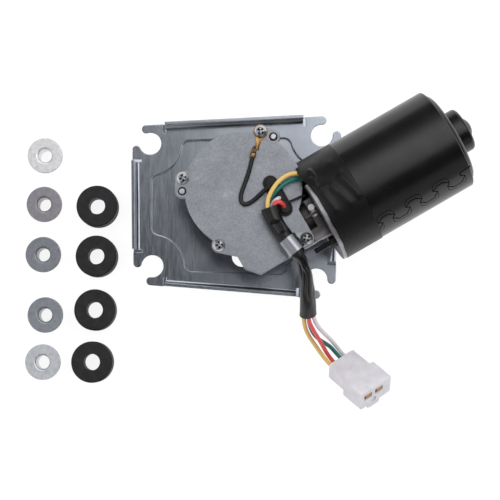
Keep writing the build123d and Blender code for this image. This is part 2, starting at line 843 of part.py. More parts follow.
core_r = can_inner_r - magnet_t - air_gap
winding_r = core_r - winding_step
with BuildPart() as armature_core:
    with BuildSketch(station(core_start)):
        Circle(core_r)
        Circle(shaft_r, mode=Mode.SUBTRACT)
        with PolarLocations(core_r, core_slots):
            Rectangle(2 * slot_mouth_depth, slot_mouth, mode=Mode.SUBTRACT)
        with PolarLocations(core_r - slot_depth / 2 - slot_land, core_slots):
            SlotCenterToCenter(slot_depth / 2, slot_depth / 2, mode=Mode.SUBTRACT)
    extrude(amount=core_length)
armature_core.part.label = "armature_core"
export_step(armature_core.part, "parts/armature_core.step")

with BuildPart() as windings:
    for start in (core_start - winding_length, core_start + core_length):
        with BuildSketch(station(start)):
            Circle(winding_r)
            Circle(shaft_r + winding_gap, mode=Mode.SUBTRACT)
        extrude(amount=winding_length)
    outer_rims = windings.edges().filter_by(GeomType.CIRCLE)
    fillet([e for e in outer_rims if e.radius > winding_r / 2], radius=winding_edge_r)
windings.part.label = "windings"
export_step(windings.part, "parts/windings.step")

with BuildPart() as commutator:
    with BuildSketch(station(commutator_start)):
        Circle(commutator_r)
        Circle(shaft_r, mode=Mode.SUBTRACT)
        with PolarLocations(commutator_r, commutator_bars):
            Rectangle(2 * bar_gap_depth, bar_gap, mode=Mode.SUBTRACT)
    extrude(amount=commutator_length)
commutator.part.label = "commutator"
export_step(commutator.part, "parts/commutator.step")


def shaft_bush(start, length, outer_r, inner_r):
    """A plain bush on the motor's axis."""
    with BuildPart() as bush:
        with BuildSketch(station(start)):
            Circle(outer_r)
            Circle(inner_r + running_clearance, mode=Mode.SUBTRACT)
        extrude(amount=length)
    return bush


worm_end_bush = shaft_bush(
    shaft_start + end_play, end_bush_length - end_play, end_bush_r, worm_end_r
)
worm_end_bush.part.label = "worm_end_bush"
export_step(worm_end_bush.part, "parts/worm_end_bush.step")

neck_bush = shaft_bush(
    motor_start - bearing_seat_length, bearing_seat_length, shaft_bush_r, shaft_r
)
neck_bush.part.label = "neck_bush"
export_step(neck_bush.part, "parts/neck_bush.step")

rear_bush = shaft_bush(can_end - can_t + end_play, rear_bush_length, rear_bush_r, shaft_r)
rear_bush.part.label = "rear_bush"
export_step(rear_bush.part, "parts/rear_bush.step")

with BuildPart() as thrust_pad:
    with BuildSketch(station(shaft_start - thrust_pad_t)):
        Circle(end_bush_r)
    extrude(amount=thrust_pad_t - end_play)
thrust_pad.part.label = "thrust_pad"
export_step(thrust_pad.part, "parts/thrust_pad.step")

# Motor can: a drawn cup with a stepped bearing boss
boss_end = can_end + end_boss_length
dome_sphere_r = (dome_r**2 + dome_rise**2) / (2 * dome_rise)
inner_end = can_end - can_t
inner_corner_r = can_corner_r - can_t
rear_bore_end = inner_end + rear_bush_length + shaft_room
with BuildPart() as motor_can:
    with BuildSketch(PROFILE):
        with BuildLine():
            Polyline(
                (motor_start, can_inner_r),
                (motor_start, can_r),
                (can_end - can_corner_r, can_r),
            )
            RadiusArc(
                (can_end - can_corner_r, can_r), (can_end, can_r - can_corner_r), can_corner_r
            )
            Polyline(
                (can_end, can_r - can_corner_r),
                (can_end, end_boss_r - end_groove_depth),
                (can_end + end_groove_width, end_boss_r - end_groove_depth),
                (can_end + end_groove_width, end_boss_r),
                (boss_end - end_boss_corner_r, end_boss_r),
            )
            RadiusArc(
                (boss_end - end_boss_corner_r, end_boss_r),
                (boss_end, end_boss_r - end_boss_corner_r),
                end_boss_corner_r,
            )
            Line((boss_end, end_boss_r - end_boss_corner_r), (boss_end, dome_r))
            RadiusArc((boss_end, dome_r), (boss_end + dome_rise, 0), dome_sphere_r)
            Polyline(
                (boss_end + dome_rise, 0),
                (rear_bore_end, 0),
                (rear_bore_end, rear_bush_r),
                (inner_end, rear_bush_r),
                (inner_end, can_inner_r - inner_corner_r),
            )
            RadiusArc(
                (inner_end, can_inner_r - inner_corner_r),
                (inner_end - inner_corner_r, can_inner_r),
                -inner_corner_r,
            )
            Line((inner_end - inner_corner_r, can_inner_r), (motor_start, can_inner_r))
        make_face()
    revolve(axis=MOTOR_AXIS)
motor_can.part.label = "motor_can"
export_step(motor_can.part, "parts/motor_can.step")

# Flux ring: rolled strip, closed by an interlocking seam of waves along its length, with
# a straight run at each end
ring_start = motor_start + ring_gap
seam_plane = Plane(
    origin=case_point(ring_start, -worm_offset, motor_height),
    x_dir=CASE.x_dir,
    z_dir=station(0).x_dir * cos(radians(seam_angle)) + Vector(0, 0, sin(radians(seam_angle))),
)
wave_lap = seam_turns[-1][0] - seam_period
neck_rise, neck_corner_r = seam_turns[0][1:]
seam_route = [
    (-ring_gap, -seam_end_rise, 0.0),
    (seam_start + wave_lap, -seam_end_rise, seam_end_r),
    (seam_start + wave_lap, neck_rise, neck_corner_r),
]
wave_start = seam_start
while wave_start + seam_turns[-1][0] < ring_length:
    seam_route += [(wave_start + along, rise, corner_r) for along, rise, corner_r in seam_turns]
    wave_start += seam_period
seam_route += [
    (wave_start, neck_rise, neck_corner_r),
    (wave_start, seam_end_rise, seam_end_r),
    (ring_length + ring_gap, seam_end_rise, 0.0),
]
with BuildPart() as seam_cutter:
    with BuildSketch(seam_plane):
        with BuildLine():
            seam_corners = [(along, rise) for along, rise, corner_r in seam_route]
            FilletPolyline(*seam_corners, radius=[turn[2] for turn in seam_route[1:-1]])
        trace(line_width=seam_width)
    extrude(amount=ring_r + 2)
with BuildPart() as seam_limit:
    with BuildSketch(station(ring_start - 1)):
        Circle(ring_r + 2)
        Circle(ring_r - seam_depth, mode=Mode.SUBTRACT)
    extrude(amount=ring_length + 2)
    add(seam_cutter.part, mode=Mode.INTERSECT)
with BuildPart() as flux_ring:
    with BuildSketch(station(ring_start)):
        Circle(ring_r)
        Circle(can_r, mode=Mode.SUBTRACT)
    extrude(amount=ring_length)
    far_rim = flux_ring.edges().filter_by(GeomType.CIRCLE).sort_by(MOTOR_AXIS)
    chamfer([e for e in far_rim[-2:] if e.radius > can_r + 0.5], length=0.6)
    add(seam_limit.part, mode=Mode.SUBTRACT)
flux_ring.part.label = "flux_ring"
export_step(flux_ring.part, "parts/flux_ring.step")

with BuildPart() as tape_band:
    with BuildSketch(station(motor_start)):
        Circle(ring_r + tape_t)
        Circle(ring_r + tape_gap, mode=Mode.SUBTRACT)
    extrude(amount=tape_length)
tape_band.part.label = "tape_band"
export_step(tape_band.part, "parts/tape_band.step")


def magnet(middle):
    """One curved magnet of the field, centred at that angle round the axis."""
    with BuildPart() as piece:
        with BuildSketch(station(magnet_start)):
            Circle(can_inner_r)
            Circle(can_inner_r - magnet_t, mode=Mode.SUBTRACT)
            edges = [middle + magnet_span / 2, middle + 180, middle - magnet_span / 2 + 360]
            Polygon(Vector(0, 0), *[polar(3 * ring_r, a) for a in edges],
                    align=None, mode=Mode.SUBTRACT)
        extrude(amount=magnet_length)
    return piece


magnet_upper = magnet(bolt_angle - 90)
magnet_upper.part.label = "magnet_upper"
export_step(magnet_upper.part, "parts/magnet_upper.step")
magnet_lower = magnet(bolt_angle + 90)
magnet_lower.part.label = "magnet_lower"
export_step(magnet_lower.part, "parts/magnet_lower.step")


def flange_bolt(angle):
    """A bolt that holds the brush plate on the motor flange, with its nut."""
    head_start = brush_plate_start + brush_plate_t
    with BuildPart() as piece:
        with BuildSketch(station(bolt_near_end)):
            with Locations(polar(bolt_radius, angle)):
                Circle(bolt_r)
        extrude(amount=head_start - bolt_near_end)
        with BuildSketch(station(head_start)):
            with Locations(polar(bolt_radius, angle)):
                Circle(bolt_head_r)
        extrude(amount=bolt_head_t)
        with BuildSketch(station(neck_end - bolt_nut_t)):
            with Locations(polar(bolt_radius, angle)):
                RegularPolygon(bolt_nut_r, 6, major_radius=False)
        extrude(amount=bolt_nut_t)
    return piece


flange_bolt_upper = flange_bolt(bolt_angle)
flange_bolt_upper.part.label = "flange_bolt_upper"
export_step(flange_bolt_upper.part, "parts/flange_bolt_upper.step")
flange_bolt_lower = flange_bolt(bolt_angle + 180)
flange_bolt_lower.part.label = "flange_bolt_lower"
export_step(flange_bolt_lower.part, "parts/flange_bolt_lower.step")

brush_angles = (bolt_angle - 90, bolt_angle + 90, bolt_angle + 150)
brush_under = commutator_r + brush_gap
brush_start = commutator_start + brush_offset
with BuildPart() as brush_plate:
    with BuildSketch(station(brush_plate_start)):
        Circle(can_inner_r)
        Circle(commutator_r - brush_plate_gap, mode=Mode.SUBTRACT)
        with Locations(polar(bolt_radius, bolt_angle), polar(bolt_radius, bolt_angle + 180)):
            Circle(bolt_r + bolt_hole_gap, mode=Mode.SUBTRACT)
    extrude(amount=brush_plate_t)
    holder_start = brush_plate_start + brush_plate_t
    for angle in brush_angles:
        with BuildSketch(station(holder_start)):
            with Locations(polar(brush_under + brush_wall + brush_length / 2, angle)):
                Rectangle(brush_length, brush_width + 2 * brush_wall, rotation=angle)
        extrude(amount=brush_start + brush_depth + brush_wall - holder_start)
    for angle in brush_angles:
        with BuildSketch(station(brush_start)):
            with Locations(polar(brush_under + brush_length, angle)):
                Rectangle(2 * brush_length, brush_width, rotation=angle)
        extrude(amount=brush_depth, mode=Mode.SUBTRACT)
brush_plate.part.label = "brush_plate"
export_step(brush_plate.part, "parts/brush_plate.step")

with BuildPart() as carbon_brushes:
    for angle in brush_angles:
        with BuildSketch(station(brush_start)):
            with Locations(polar(brush_under + brush_length / 2, angle)):
                Rectangle(brush_length, brush_width, rotation=angle)
        extrude(amount=brush_depth)
carbon_brushes.part.label = "carbon_brushes"
export_step(carbon_brushes.part, "parts/carbon_brushes.step")

# Wire grommet in the cover, and the park switch's board and fingers under it
with BuildPart() as wire_grommet:
    with BuildSketch(level(cover_under)):
        add(grommet_slot(grommet_neck_r))
    extrude(amount=cover_t)
    with BuildSketch(level(cover_top)):
        add(grommet_slot(grommet_lip_r))
    extrude(amount=grommet_lip_t)
    with BuildSketch(level(cover_top + grommet_lip_t)):
        add(grommet_slot(grommet_block_r))
    extrude(amount=grommet_block_t - grommet_lip_t)
    fillet(wire_grommet.edges().group_by(Axis.Z)[-1], radius=grommet_block_edge_r)
wire_grommet.part.label = "wire_grommet"
export_step(wire_grommet.part, "parts/wire_grommet.step")

board_under = cover_under - board_t
with BuildPart() as contact_board:
    with BuildSketch(level(board_under)):
        with Locations(board_at):
            RectangleRounded(*board_size, 2)
    extrude(amount=board_t)
contact_board.part.label = "contact_board"
export_step(contact_board.part, "parts/contact_board.step")

disc_top = wheel_under + wheel_width + park_disc_t
finger_under = disc_top + finger_gap
with BuildPart() as park_contacts:
    for radius in finger_radii:
        side_plane = Plane(
            origin=case_point(radius - finger_width / 2, 0, 0),
            x_dir=CASE.y_dir,
            z_dir=CASE.x_dir,
        )
        with BuildSketch(side_plane):
            Polygon(
                (finger_root, board_under),
                (finger_root, board_under - finger_t),
                (finger_bend, board_under - finger_t),
                (-finger_foot, finger_under),
                (-finger_foot - finger_toe, finger_under + finger_toe_rise),
                (-finger_foot - finger_toe, finger_under + finger_toe_rise + finger_t),
                (-finger_foot, finger_under + finger_t),
                (finger_bend + finger_bend_shift, board_under),
                align=None,
            )
        extrude(amount=finger_width)
park_contacts.part.label = "park_contacts"
export_step(park_contacts.part, "parts/park_contacts.step")


# Wires and sleeve: straight runs joined by arcs as large as their two runs allow
def arc_radii(points):
    """The radius at each inner point of a route."""
    radii = []
    for before, corner, after in zip(points, points[1:], points[2:]):
        run_in = Vector(*corner) - Vector(*before)
        run_out = Vector(*after) - Vector(*corner)
        turn = run_in.get_angle(run_out)
        shorter = min(run_in.length, run_out.length)
        radii.append(0.45 * shorter / tan(radians(turn / 2)))
    return radii


def tube(points, radius, bore=0.0):
    """A round wire or sleeve along a route."""
    radii = arc_radii(points)
    with BuildPart() as piece:
        with BuildLine():
            path = FilletPolyline(*points, radius=radii)
        with BuildSketch(Plane(origin=path @ 0, z_dir=path % 0)):
            Circle(radius)
            if bore:
                Circle(bore, mode=Mode.SUBTRACT)
        sweep()
    section = pi * (radius**2 - bore**2)
    share = piece.part.volume / (section * path.length)
    print(f"length {path.length:.1f}, volume share {share:.4f}, radii", [round(r, 1) for r in radii])
    return piece


routes = {
    "ground_lead": [
        (15.6, 2.4, 70.6), (11.6, -0.9, 70.4), (7.2, -5.2, 69.5), (2.6, -8.6, 69.3),
        (-0.8, -8.4, 69.3), (-1.9, -4.8, 69.3), (-0.4, 0.6, 69.3), (2.4, 7.8, 69.4),
        (4.4, 15.0, 69.9), (6.2, 23.4, 70.1),
    ],
    "braided_lead": [
        (24.2, -7.9, 70.6), (28.8, -6.2, 70.9), (33.2, -4.1, 70.0), (35.2, -3.0, 66.5),
        (35.3, -2.9, 62.4),
    ],
    "yellow_lead": [
        (35.2, 8.5, 66.9), (31.4, 9.2, 70.4), (25.8, 8.4, 73.4), (20.4, 4.8, 75.0),
        (15.8, -1.4, 75.9), (12.8, -9.0, 75.9), (14.7, -16.2, 75.8),
    ],
    "green_lead": [
        (36.4, 5.9, 66.6), (31.8, 6.4, 69.6), (25.6, 4.6, 72.6), (20.2, 0.6, 73.5),
        (15.7, -4.6, 73.2), (12.6, -10.4, 72.0), (14.6, -16.2, 71.9),
    ],
    "white_lead": [
        (20.4, -5.2, 71.0), (19.2, -5.8, 73.0), (17.0, -7.6, 72.8), (15.6, -10.6, 71.7),
        (17.4, -15.2, 71.6),
    ],
    "red_lead": [
        (23.2, -10.0, 71.0), (22.3, -8.4, 74.0), (19.4, -7.4, 75.2), (16.9, -9.2, 75.0),
        (18.6, -14.7, 74.9),
    ],
    "yellow_tail": [
        (34.7, -67.6, 50.2), (34.9, -73.0, 44.0), (36.2, -79.2, 36.0), (39.2, -84.6, 27.8),
        (43.2, -89.6, 19.4), (46.1, -93.4, 13.3), (48.9, -97.1, 11.1), (52.4, -100.9, 11.3),
        (55.8, -103.8, 14.0),
    ],
    "green_tail": [
        (37.4, -65.9, 48.8), (37.7, -71.8, 42.1), (39.0, -78.0, 33.6), (42.4, -83.6, 24.6),
        (47.4, -86.9, 16.2), (52.2, -89.6, 10.0), (55.4, -93.1, 7.4), (58.9, -97.0, 7.6),
        (62.2, -99.9, 10.4),
    ],
    "red_tail": [
        (37.4, -69.2, 51.7), (37.7, -74.5, 45.7), (40.8, -80.0, 37.4), (44.2, -84.8, 28.2),
        (47.2, -89.0, 18.6), (49.6, -92.9, 10.6), (52.2, -96.5, 7.9), (55.5, -100.4, 8.1),
        (58.8, -103.3, 10.8),
    ],
    "white_tail": [
        (40.2, -67.4, 50.3), (40.6, -73.0, 43.9), (44.2, -78.6, 35.0), (48.4, -82.4, 25.4),
        (52.4, -85.6, 15.4), (55.6, -88.9, 6.6), (58.6, -92.6, 4.1), (62.0, -96.4, 4.4),
        (65.3, -99.3, 7.1),
    ],
}
sleeve_route = [
    (14.9, -10.8, 73.8), (17.3, -17.6, 73.8), (21.6, -24.8, 73.8), (32.4, -38.4, 73.8),
    (35.3, -46.6, 69.5), (36.5, -56.0, 62.0), (37.2, -63.8, 54.5), (37.6, -70.8, 46.5),
]

for wire_name, wire_route in routes.items():
    wire = tube(wire_route, braid_r if wire_name == "braided_lead" else wire_r)
    wire.part.label = wire_name
    export_step(wire.part, f"parts/{wire_name}.step")

harness_sleeve = tube(sleeve_route, sleeve_r, sleeve_r - sleeve_wall)
harness_sleeve.part.label = "harness_sleeve"
export_step(harness_sleeve.part, "parts/harness_sleeve.step")

# Clip: a band round the sleeve whose two ends lie under a cover screw
clip_start, clip_end = Vector(*sleeve_route[2]), Vector(*sleeve_route[3])
clip_run = (clip_end - clip_start).normalized()
screw_point = case_point(*cover_screws_at[3], clip_start.Z)
clip_middle = clip_start + clip_run * ((screw_point - clip_start).dot(clip_run) - clip_shift)
clip_plane = Plane(
    origin=clip_middle - clip_run * clip_band_width / 2,
    x_dir=clip_run.cross(Vector(0, 0, 1)) * -1,
    z_dir=clip_run,
)
side = 1 if (screw_point - clip_middle).dot(clip_plane.x_dir) > 0 else -1
clip_inner_r = sleeve_r + clip_gap
clip_outer_r = clip_inner_r + clip_band_t
seat_rise = cover_top - clip_start.Z
up = 1 if clip_plane.y_dir.Z > 0 else -1
with BuildPart() as sleeve_clip:
    with BuildSketch(clip_plane):
        Circle(clip_outer_r)
        with Locations((side * clip_outer_r / 2, up * (seat_rise + clip_band_t))):
            Rectangle(clip_outer_r, 2 * clip_band_t)
        Circle(clip_inner_r, mode=Mode.SUBTRACT)
    extrude(amount=clip_band_width)
    with BuildSketch(Plane.XY.offset(cover_top)):
        foot = clip_middle + clip_plane.x_dir * side * (clip_outer_r - clip_ear_start)
        edge_a = foot - clip_run * clip_band_width / 2
        edge_b = foot + clip_run * clip_band_width / 2
        with Locations((screw_point.X, screw_point.Y)):
            Circle(terminal_r)
        ear_a = edge_a + clip_run * clip_ear_corner_r
        ear_b = edge_b - clip_run * clip_ear_corner_r
        with Locations((ear_a.X, ear_a.Y), (ear_b.X, ear_b.Y)):
            Circle(clip_ear_corner_r)
        make_hull()
        with Locations((screw_point.X, screw_point.Y)):
            Circle(cover_screw_hole_r, mode=Mode.SUBTRACT)
    extrude(amount=2 * clip_band_t)
    with BuildSketch(clip_plane.offset(-1)):
        Circle(clip_inner_r)
    extrude(amount=clip_band_width + 2, mode=Mode.SUBTRACT)
sleeve_clip.part.label = "sleeve_clip"
export_step(sleeve_clip.part, "parts/sleeve_clip.step")

# Ring terminal of the ground lead, crimped on its end
lead_end = Vector(*routes["ground_lead"][-1])
lead_run = (lead_end - Vector(*routes["ground_lead"][-2])).normalized()
ring_point = case_point(*cover_screws_at[0], cover_top)
crimp_end = lead_end + lead_run * terminal_neck_r
with BuildPart() as ring_terminal:
    with BuildSketch(Plane.XY.offset(cover_top)):
        with Locations((ring_point.X, ring_point.Y)):
            Circle(terminal_r)
        with Locations((crimp_end.X, crimp_end.Y)):
            Circle(terminal_neck_r)
        make_hull()
        with Locations((ring_point.X, ring_point.Y)):
            Circle(cover_screw_hole_r, mode=Mode.SUBTRACT)
    extrude(amount=terminal_t)
    with BuildSketch(Plane(origin=crimp_end, z_dir=-lead_run)):
        Circle(crimp_r)
    extrude(amount=crimp_length)
    with BuildSketch(Plane(origin=lead_end, z_dir=-lead_run)):
        Circle(wire_r)
    extrude(amount=crimp_length, mode=Mode.SUBTRACT)
ring_terminal.part.label = "ring_terminal"
export_step(ring_terminal.part, "parts/ring_terminal.step")

# Connector: a wide front and a narrower rear, two of its four ways open in front
axis_dir = Vector(*connector_axis).normalized()
across_dir = (Vector(*connector_across) - axis_dir * Vector(*connector_across).dot(axis_dir))
rear_centre = Vector(*connector_at) - axis_dir * connector_length / 2
REAR = Plane(origin=rear_centre, x_dir=across_dir.normalized(), z_dir=axis_dir)
front_plane = REAR.offset(connector_length)
slot_places = [
    (-connector_slot_spacing / 2, connector_slot_rise),
    (connector_slot_spacing / 2, connector_slot_rise),
]
with BuildPart() as connector_housing:
    with BuildSketch(REAR):
        RectangleRounded(*connector_rear, connector_corner_r)
    extrude(amount=connector_length - connector_front_length)
    with BuildSketch(REAR.offset(connector_length - connector_front_length)):
        RectangleRounded(*connector_front, connector_corner_r)
    extrude(amount=connector_front_length)
    front_face = connector_housing.faces().sort_by(Axis(rear_centre, axis_dir))[-1]
    fillet(front_face.edges(), radius=connector_edge_r)
    with BuildSketch(front_plane):
        with Locations(*slot_places):
            Rectangle(*connector_slot)
    extrude(amount=-blade_recess - blade_length, mode=Mode.SUBTRACT)
    with BuildSketch(front_plane):
        with Locations((0, -connector_key_drop)):
            Circle(connector_key_r)
    extrude(amount=-connector_front_length / 2, mode=Mode.SUBTRACT)
    for tail_name in ("yellow_tail", "green_tail", "red_tail", "white_tail"):
        tail_end = Vector(*routes[tail_name][-1])
        tail_before = Vector(*routes[tail_name][-2])
        tail_run = (tail_end - tail_before).normalized()
        with BuildSketch(Plane(origin=tail_end, z_dir=-tail_run)):
            Circle(wire_r)
        extrude(amount=wire_entry, mode=Mode.SUBTRACT)
connector_housing.part.label = "connector_housing"
export_step(connector_housing.part, "parts/connector_housing.step")

with BuildPart() as connector_blades:
    with BuildSketch(front_plane.offset(-blade_recess - blade_length)):
        with Locations(*slot_places):
            Rectangle(*blade_size)
    extrude(amount=blade_length)
connector_blades.part.label = "connector_blades"
export_step(connector_blades.part, "parts/connector_blades.step")

# Loose hardware: five flanged sleeves, which stand flange up, and four grooved rubber
# grommets on the table
for number, (x, y) in enumerate(loose_sleeves_at, start=1):
    with BuildPart() as loose_sleeve:
        with BuildSketch(Plane.XY.offset(loose_sleeve_height)):
            with Locations((x, y)):
                Circle(loose_flange_r)
        extrude(amount=-loose_flange_t)
        chamfer(loose_sleeve.edges().group_by(Axis.Z)[-1], length=loose_edge)
        with BuildSketch(Plane.XY):
            with Locations((x, y)):
                Circle(loose_tube_r)
        extrude(amount=loose_sleeve_height)
        with BuildSketch(Plane.XY):
            with Locations((x, y)):
                Circle(loose_bore_r)
        extrude(amount=loose_sleeve_height, mode=Mode.SUBTRACT)
        mouth = loose_sleeve.edges().group_by(Axis.Z)[-1].sort_by(SortBy.RADIUS)[0]
        fillet(mouth, radius=loose_mouth_r)
    loose_sleeve.part.label = f"flanged_sleeve_{number}"
    export_step(loose_sleeve.part, f"parts/flanged_sleeve_{number}.step")

groove_width = plate_t + grommet_groove_gap
groove_under = (grommet_height - groove_width) / 2
for number, (x, y) in enumerate(loose_grommets_at, start=1):
    with BuildPart() as loose_grommet:
        with BuildSketch(Plane(origin=(x, y, 0), x_dir=(1, 0, 0), z_dir=(0, -1, 0))):
            with BuildLine():
                Polyline(
                    (grommet_bore_r, 0),
                    (grommet_r, 0),
                    (grommet_r, groove_under),
                    (grommet_groove_r, groove_under),
                    (grommet_groove_r, groove_under + groove_width),
                    (grommet_r, groove_under + groove_width),
                    (grommet_r, grommet_height - grommet_edge_r),
                )
                RadiusArc(
                    (grommet_r, grommet_height - grommet_edge_r),
                    (grommet_r - grommet_edge_r, grommet_height),
                    -grommet_edge_r,
                )
                Polyline(
                    (grommet_r - grommet_edge_r, grommet_height),
                    (grommet_bore_r, grommet_height),
                    (grommet_bore_r, 0),
                )
            make_face()
        revolve(axis=Axis((x, y, 0), (0, 0, 1)))
    loose_grommet.part.label = f"rubber_grommet_{number}"
    export_step(loose_grommet.part, f"parts/rubber_grommet_{number}.step")
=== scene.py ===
# Looks of a windscreen wiper motor on its mounting plate, with its loose hardware.
# The frame's origin is where the spindle axis meets the table, +X is to the right, +Y is
# up in the picture and +Z points to the camera. Lengths are in metres, or in millimetres
# where a comment says so.
import json
from math import asin, copysign, cos, exp, hypot, pi, radians, sin, tan

import bmesh
import bpy
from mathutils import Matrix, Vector


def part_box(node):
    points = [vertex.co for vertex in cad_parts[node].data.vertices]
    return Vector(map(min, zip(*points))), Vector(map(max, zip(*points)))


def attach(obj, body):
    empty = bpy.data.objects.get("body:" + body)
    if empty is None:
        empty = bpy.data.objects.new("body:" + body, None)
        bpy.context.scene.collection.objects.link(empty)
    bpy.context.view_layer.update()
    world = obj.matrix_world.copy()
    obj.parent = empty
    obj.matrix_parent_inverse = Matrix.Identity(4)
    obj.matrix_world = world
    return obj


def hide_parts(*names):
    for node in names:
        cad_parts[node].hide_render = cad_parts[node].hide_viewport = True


MM = 0.001
X, Y, Z = Vector((1, 0, 0)), Vector((0, 1, 0)), Vector((0, 0, 1))

# The height of the plate's rim
RIM_TOP = 20 * MM

# Camera: it stands a metre above the plate's rim and looks slightly up the picture
CAMERA_HEIGHT = 1.0
CAMERA_TARGET = Vector((3.66 * MM, -31.8 * MM, RIM_TOP))
CAMERA_BACK = 61 * MM
SENSOR_WIDTH = 36.0
VIEW_WIDTH = 0.3

# Light: how strong the sky is on matt faces and its panels are in mirrors, how bright the
# table glows, and the way that the panels follow each other over the part
SKY_STRENGTH = 0.72
PANEL_STRENGTH = 2.0
TABLE_GLOW = 0.88
PANEL_SLOPE = (0.75, 0.66, 0.0)
# Each lamp: its name, its place, its width and its power; all are turned to one target
LAMPS = [("key_light", (0.6, 0.55, 0.9), 1.2, 6.4), ("fill_light", (-0.65, 0.1, 0.9), 1.0, 3.4)]
LAMP_TARGET = Vector((0.0, -0.02, 0.03))

# Motor: its axis, and where its pieces lie along it from the spindle
MOTOR_TILT = radians(30)
MOTOR_OFFSET = 32 * MM
MOTOR_HEIGHT = 53 * MM
TAPE_START = 33.2 * MM
RING_START = 36 * MM
TAPE_END = 56.5 * MM
RING_R = 31 * MM
TAPE_T = 0.4 * MM
TAPE_GAP = 0.05 * MM
ALONG = Vector((cos(MOTOR_TILT), sin(MOTOR_TILT), 0))
ACROSS = Vector((sin(MOTOR_TILT), -cos(MOTOR_TILT), 0))

# The flux ring's seam: its angle from the top, then in millimetres from the ring's start where
# its waves start and the ring ends, and one wave's corners as (along, rise, radius)
SEAM_ANGLE = radians(52.5)
SEAM_START = 2.4
SEAM_END = 82.0
SEAM_PERIOD = 18.1
SEAM_WAVES = 4
SEAM_END_RISE = 4.4
SEAM_END_RADIUS = 1.2
SEAM_TURNS = [
    (0.0, 1.0, 1.2), (0.0, 6.6, 3.5), (10.7, 6.6, 3.5), (10.7, 1.3, 1.0),
    (9.1, -0.6, 1.0), (9.1, -6.6, 3.5), (20.8, -6.6, 3.5), (20.8, 1.0, 1.2),
]

# Wires and sleeve
WIRE_R = 1.25 * MM
BRAID_R = 0.8 * MM
SLEEVE_R = 4.7 * MM
SLEEVE_WALL = 0.6 * MM

# Connector, in millimetres: its middle, its axis and its width's direction, and its sizes
PLUG_AT = (68.6, -108.6, 17.1)
PLUG_AXIS = (0.641, -0.563, 0.524)
PLUG_ACROSS = (0.767, 0.470, -0.437)
PLUG_LENGTH = 31
PLUG_FRONT_LENGTH = 15.5
PLUG_FRONT = (24.4, 14.2)
PLUG_REAR = (20, 12.4)
PLUG_CORNER = 1.6
# Its two openings, and the latch and the key's hollow that lie under them
PLUG_WAYS = (-6.2, 2.4)
PLUG_WAY_RISE = 1.4
PLUG_OPENING = (6.2, 4.2)
LATCH_AT = (-0.6, -7.5)
LATCH_SIZE = (9.4, 7)
KEY_AT = (-1.4, -4.6)
KEY_R = 2.4

# Plate, in millimetres: its sheet, its fingers and slots, and the relief cut at a fold's end
PLATE_T = 2
FINGER_R = 2.5
SLOT_R = 6.6
RELIEF = 1.5


def finger_tip(x, y, degrees):
    """The middle of a finger's round end, by its slot's centre and its direction."""
    reach = SLOT_R + FINGER_R
    return (x + reach * cos(radians(degrees)), y + reach * sin(radians(degrees)))


# Each fold lies between two finger tips, with the gap before it and the gap after it
PLATE_FOLDS = [
    (finger_tip(-55.0, -41.5, 169), finger_tip(-56.5, 32.5, 204), 8.2, 7.4),
    (finger_tip(-56.5, 32.5, 107), finger_tip(47.0, 37.5, 88), 11.9, 11.6),
    (finger_tip(43.5, -49.5, 269), finger_tip(-55.0, -41.5, 263), 12.0, 9.4),
    (finger_tip(47.0, 37.5, 0), finger_tip(43.5, -49.5, 359), 7.5, 10.7),
]

# Cover and its screws
COVER_TOP = 68 * MM
HEAD_R = 3.5 * MM
HEAD_T = 2.6 * MM
SCREW_R = 2 * MM
SCREW_LENGTH = 5 * MM
CROSS_ARM = 2.1 * MM
CROSS_DEPTH = 1.7 * MM
# Each screw: its name, its place in millimetres, its seat over the cover and its turn
SCREWS = [
    ("terminal_screw", (9.74, 33.33), 0.8, 0.9),
    ("upper_left_screw", (-34.80, 6.47), 0.0, 0.3),
    ("lower_left_screw", (-13.99, -31.98), 0.0, 0.15),
    ("clip_screw", (36.01, -28.17), 1.6, 0.6),
]

# Output spindle: its radius at the thread and at the shank, and its thread
THREAD_R = 4 * MM
SHANK_R = 5 * MM
THREAD_DEPTH = 0.75 * MM
THREAD_PITCH = 1.25 * MM
THREAD_END = 7 * MM

# The neck's flat face in millimetres, along the motor and across it: its corners, and a point
# inside them that its rounded rim draws in to
NECK_PAD = ((31.0, -9.2), (31.0, 14.4), (20.6, 14.4), (20.6, 7.4), (26.0, 7.4), (26.0, -9.2))
NECK_PAD_MIDDLE = Vector((28.6, 9.4))

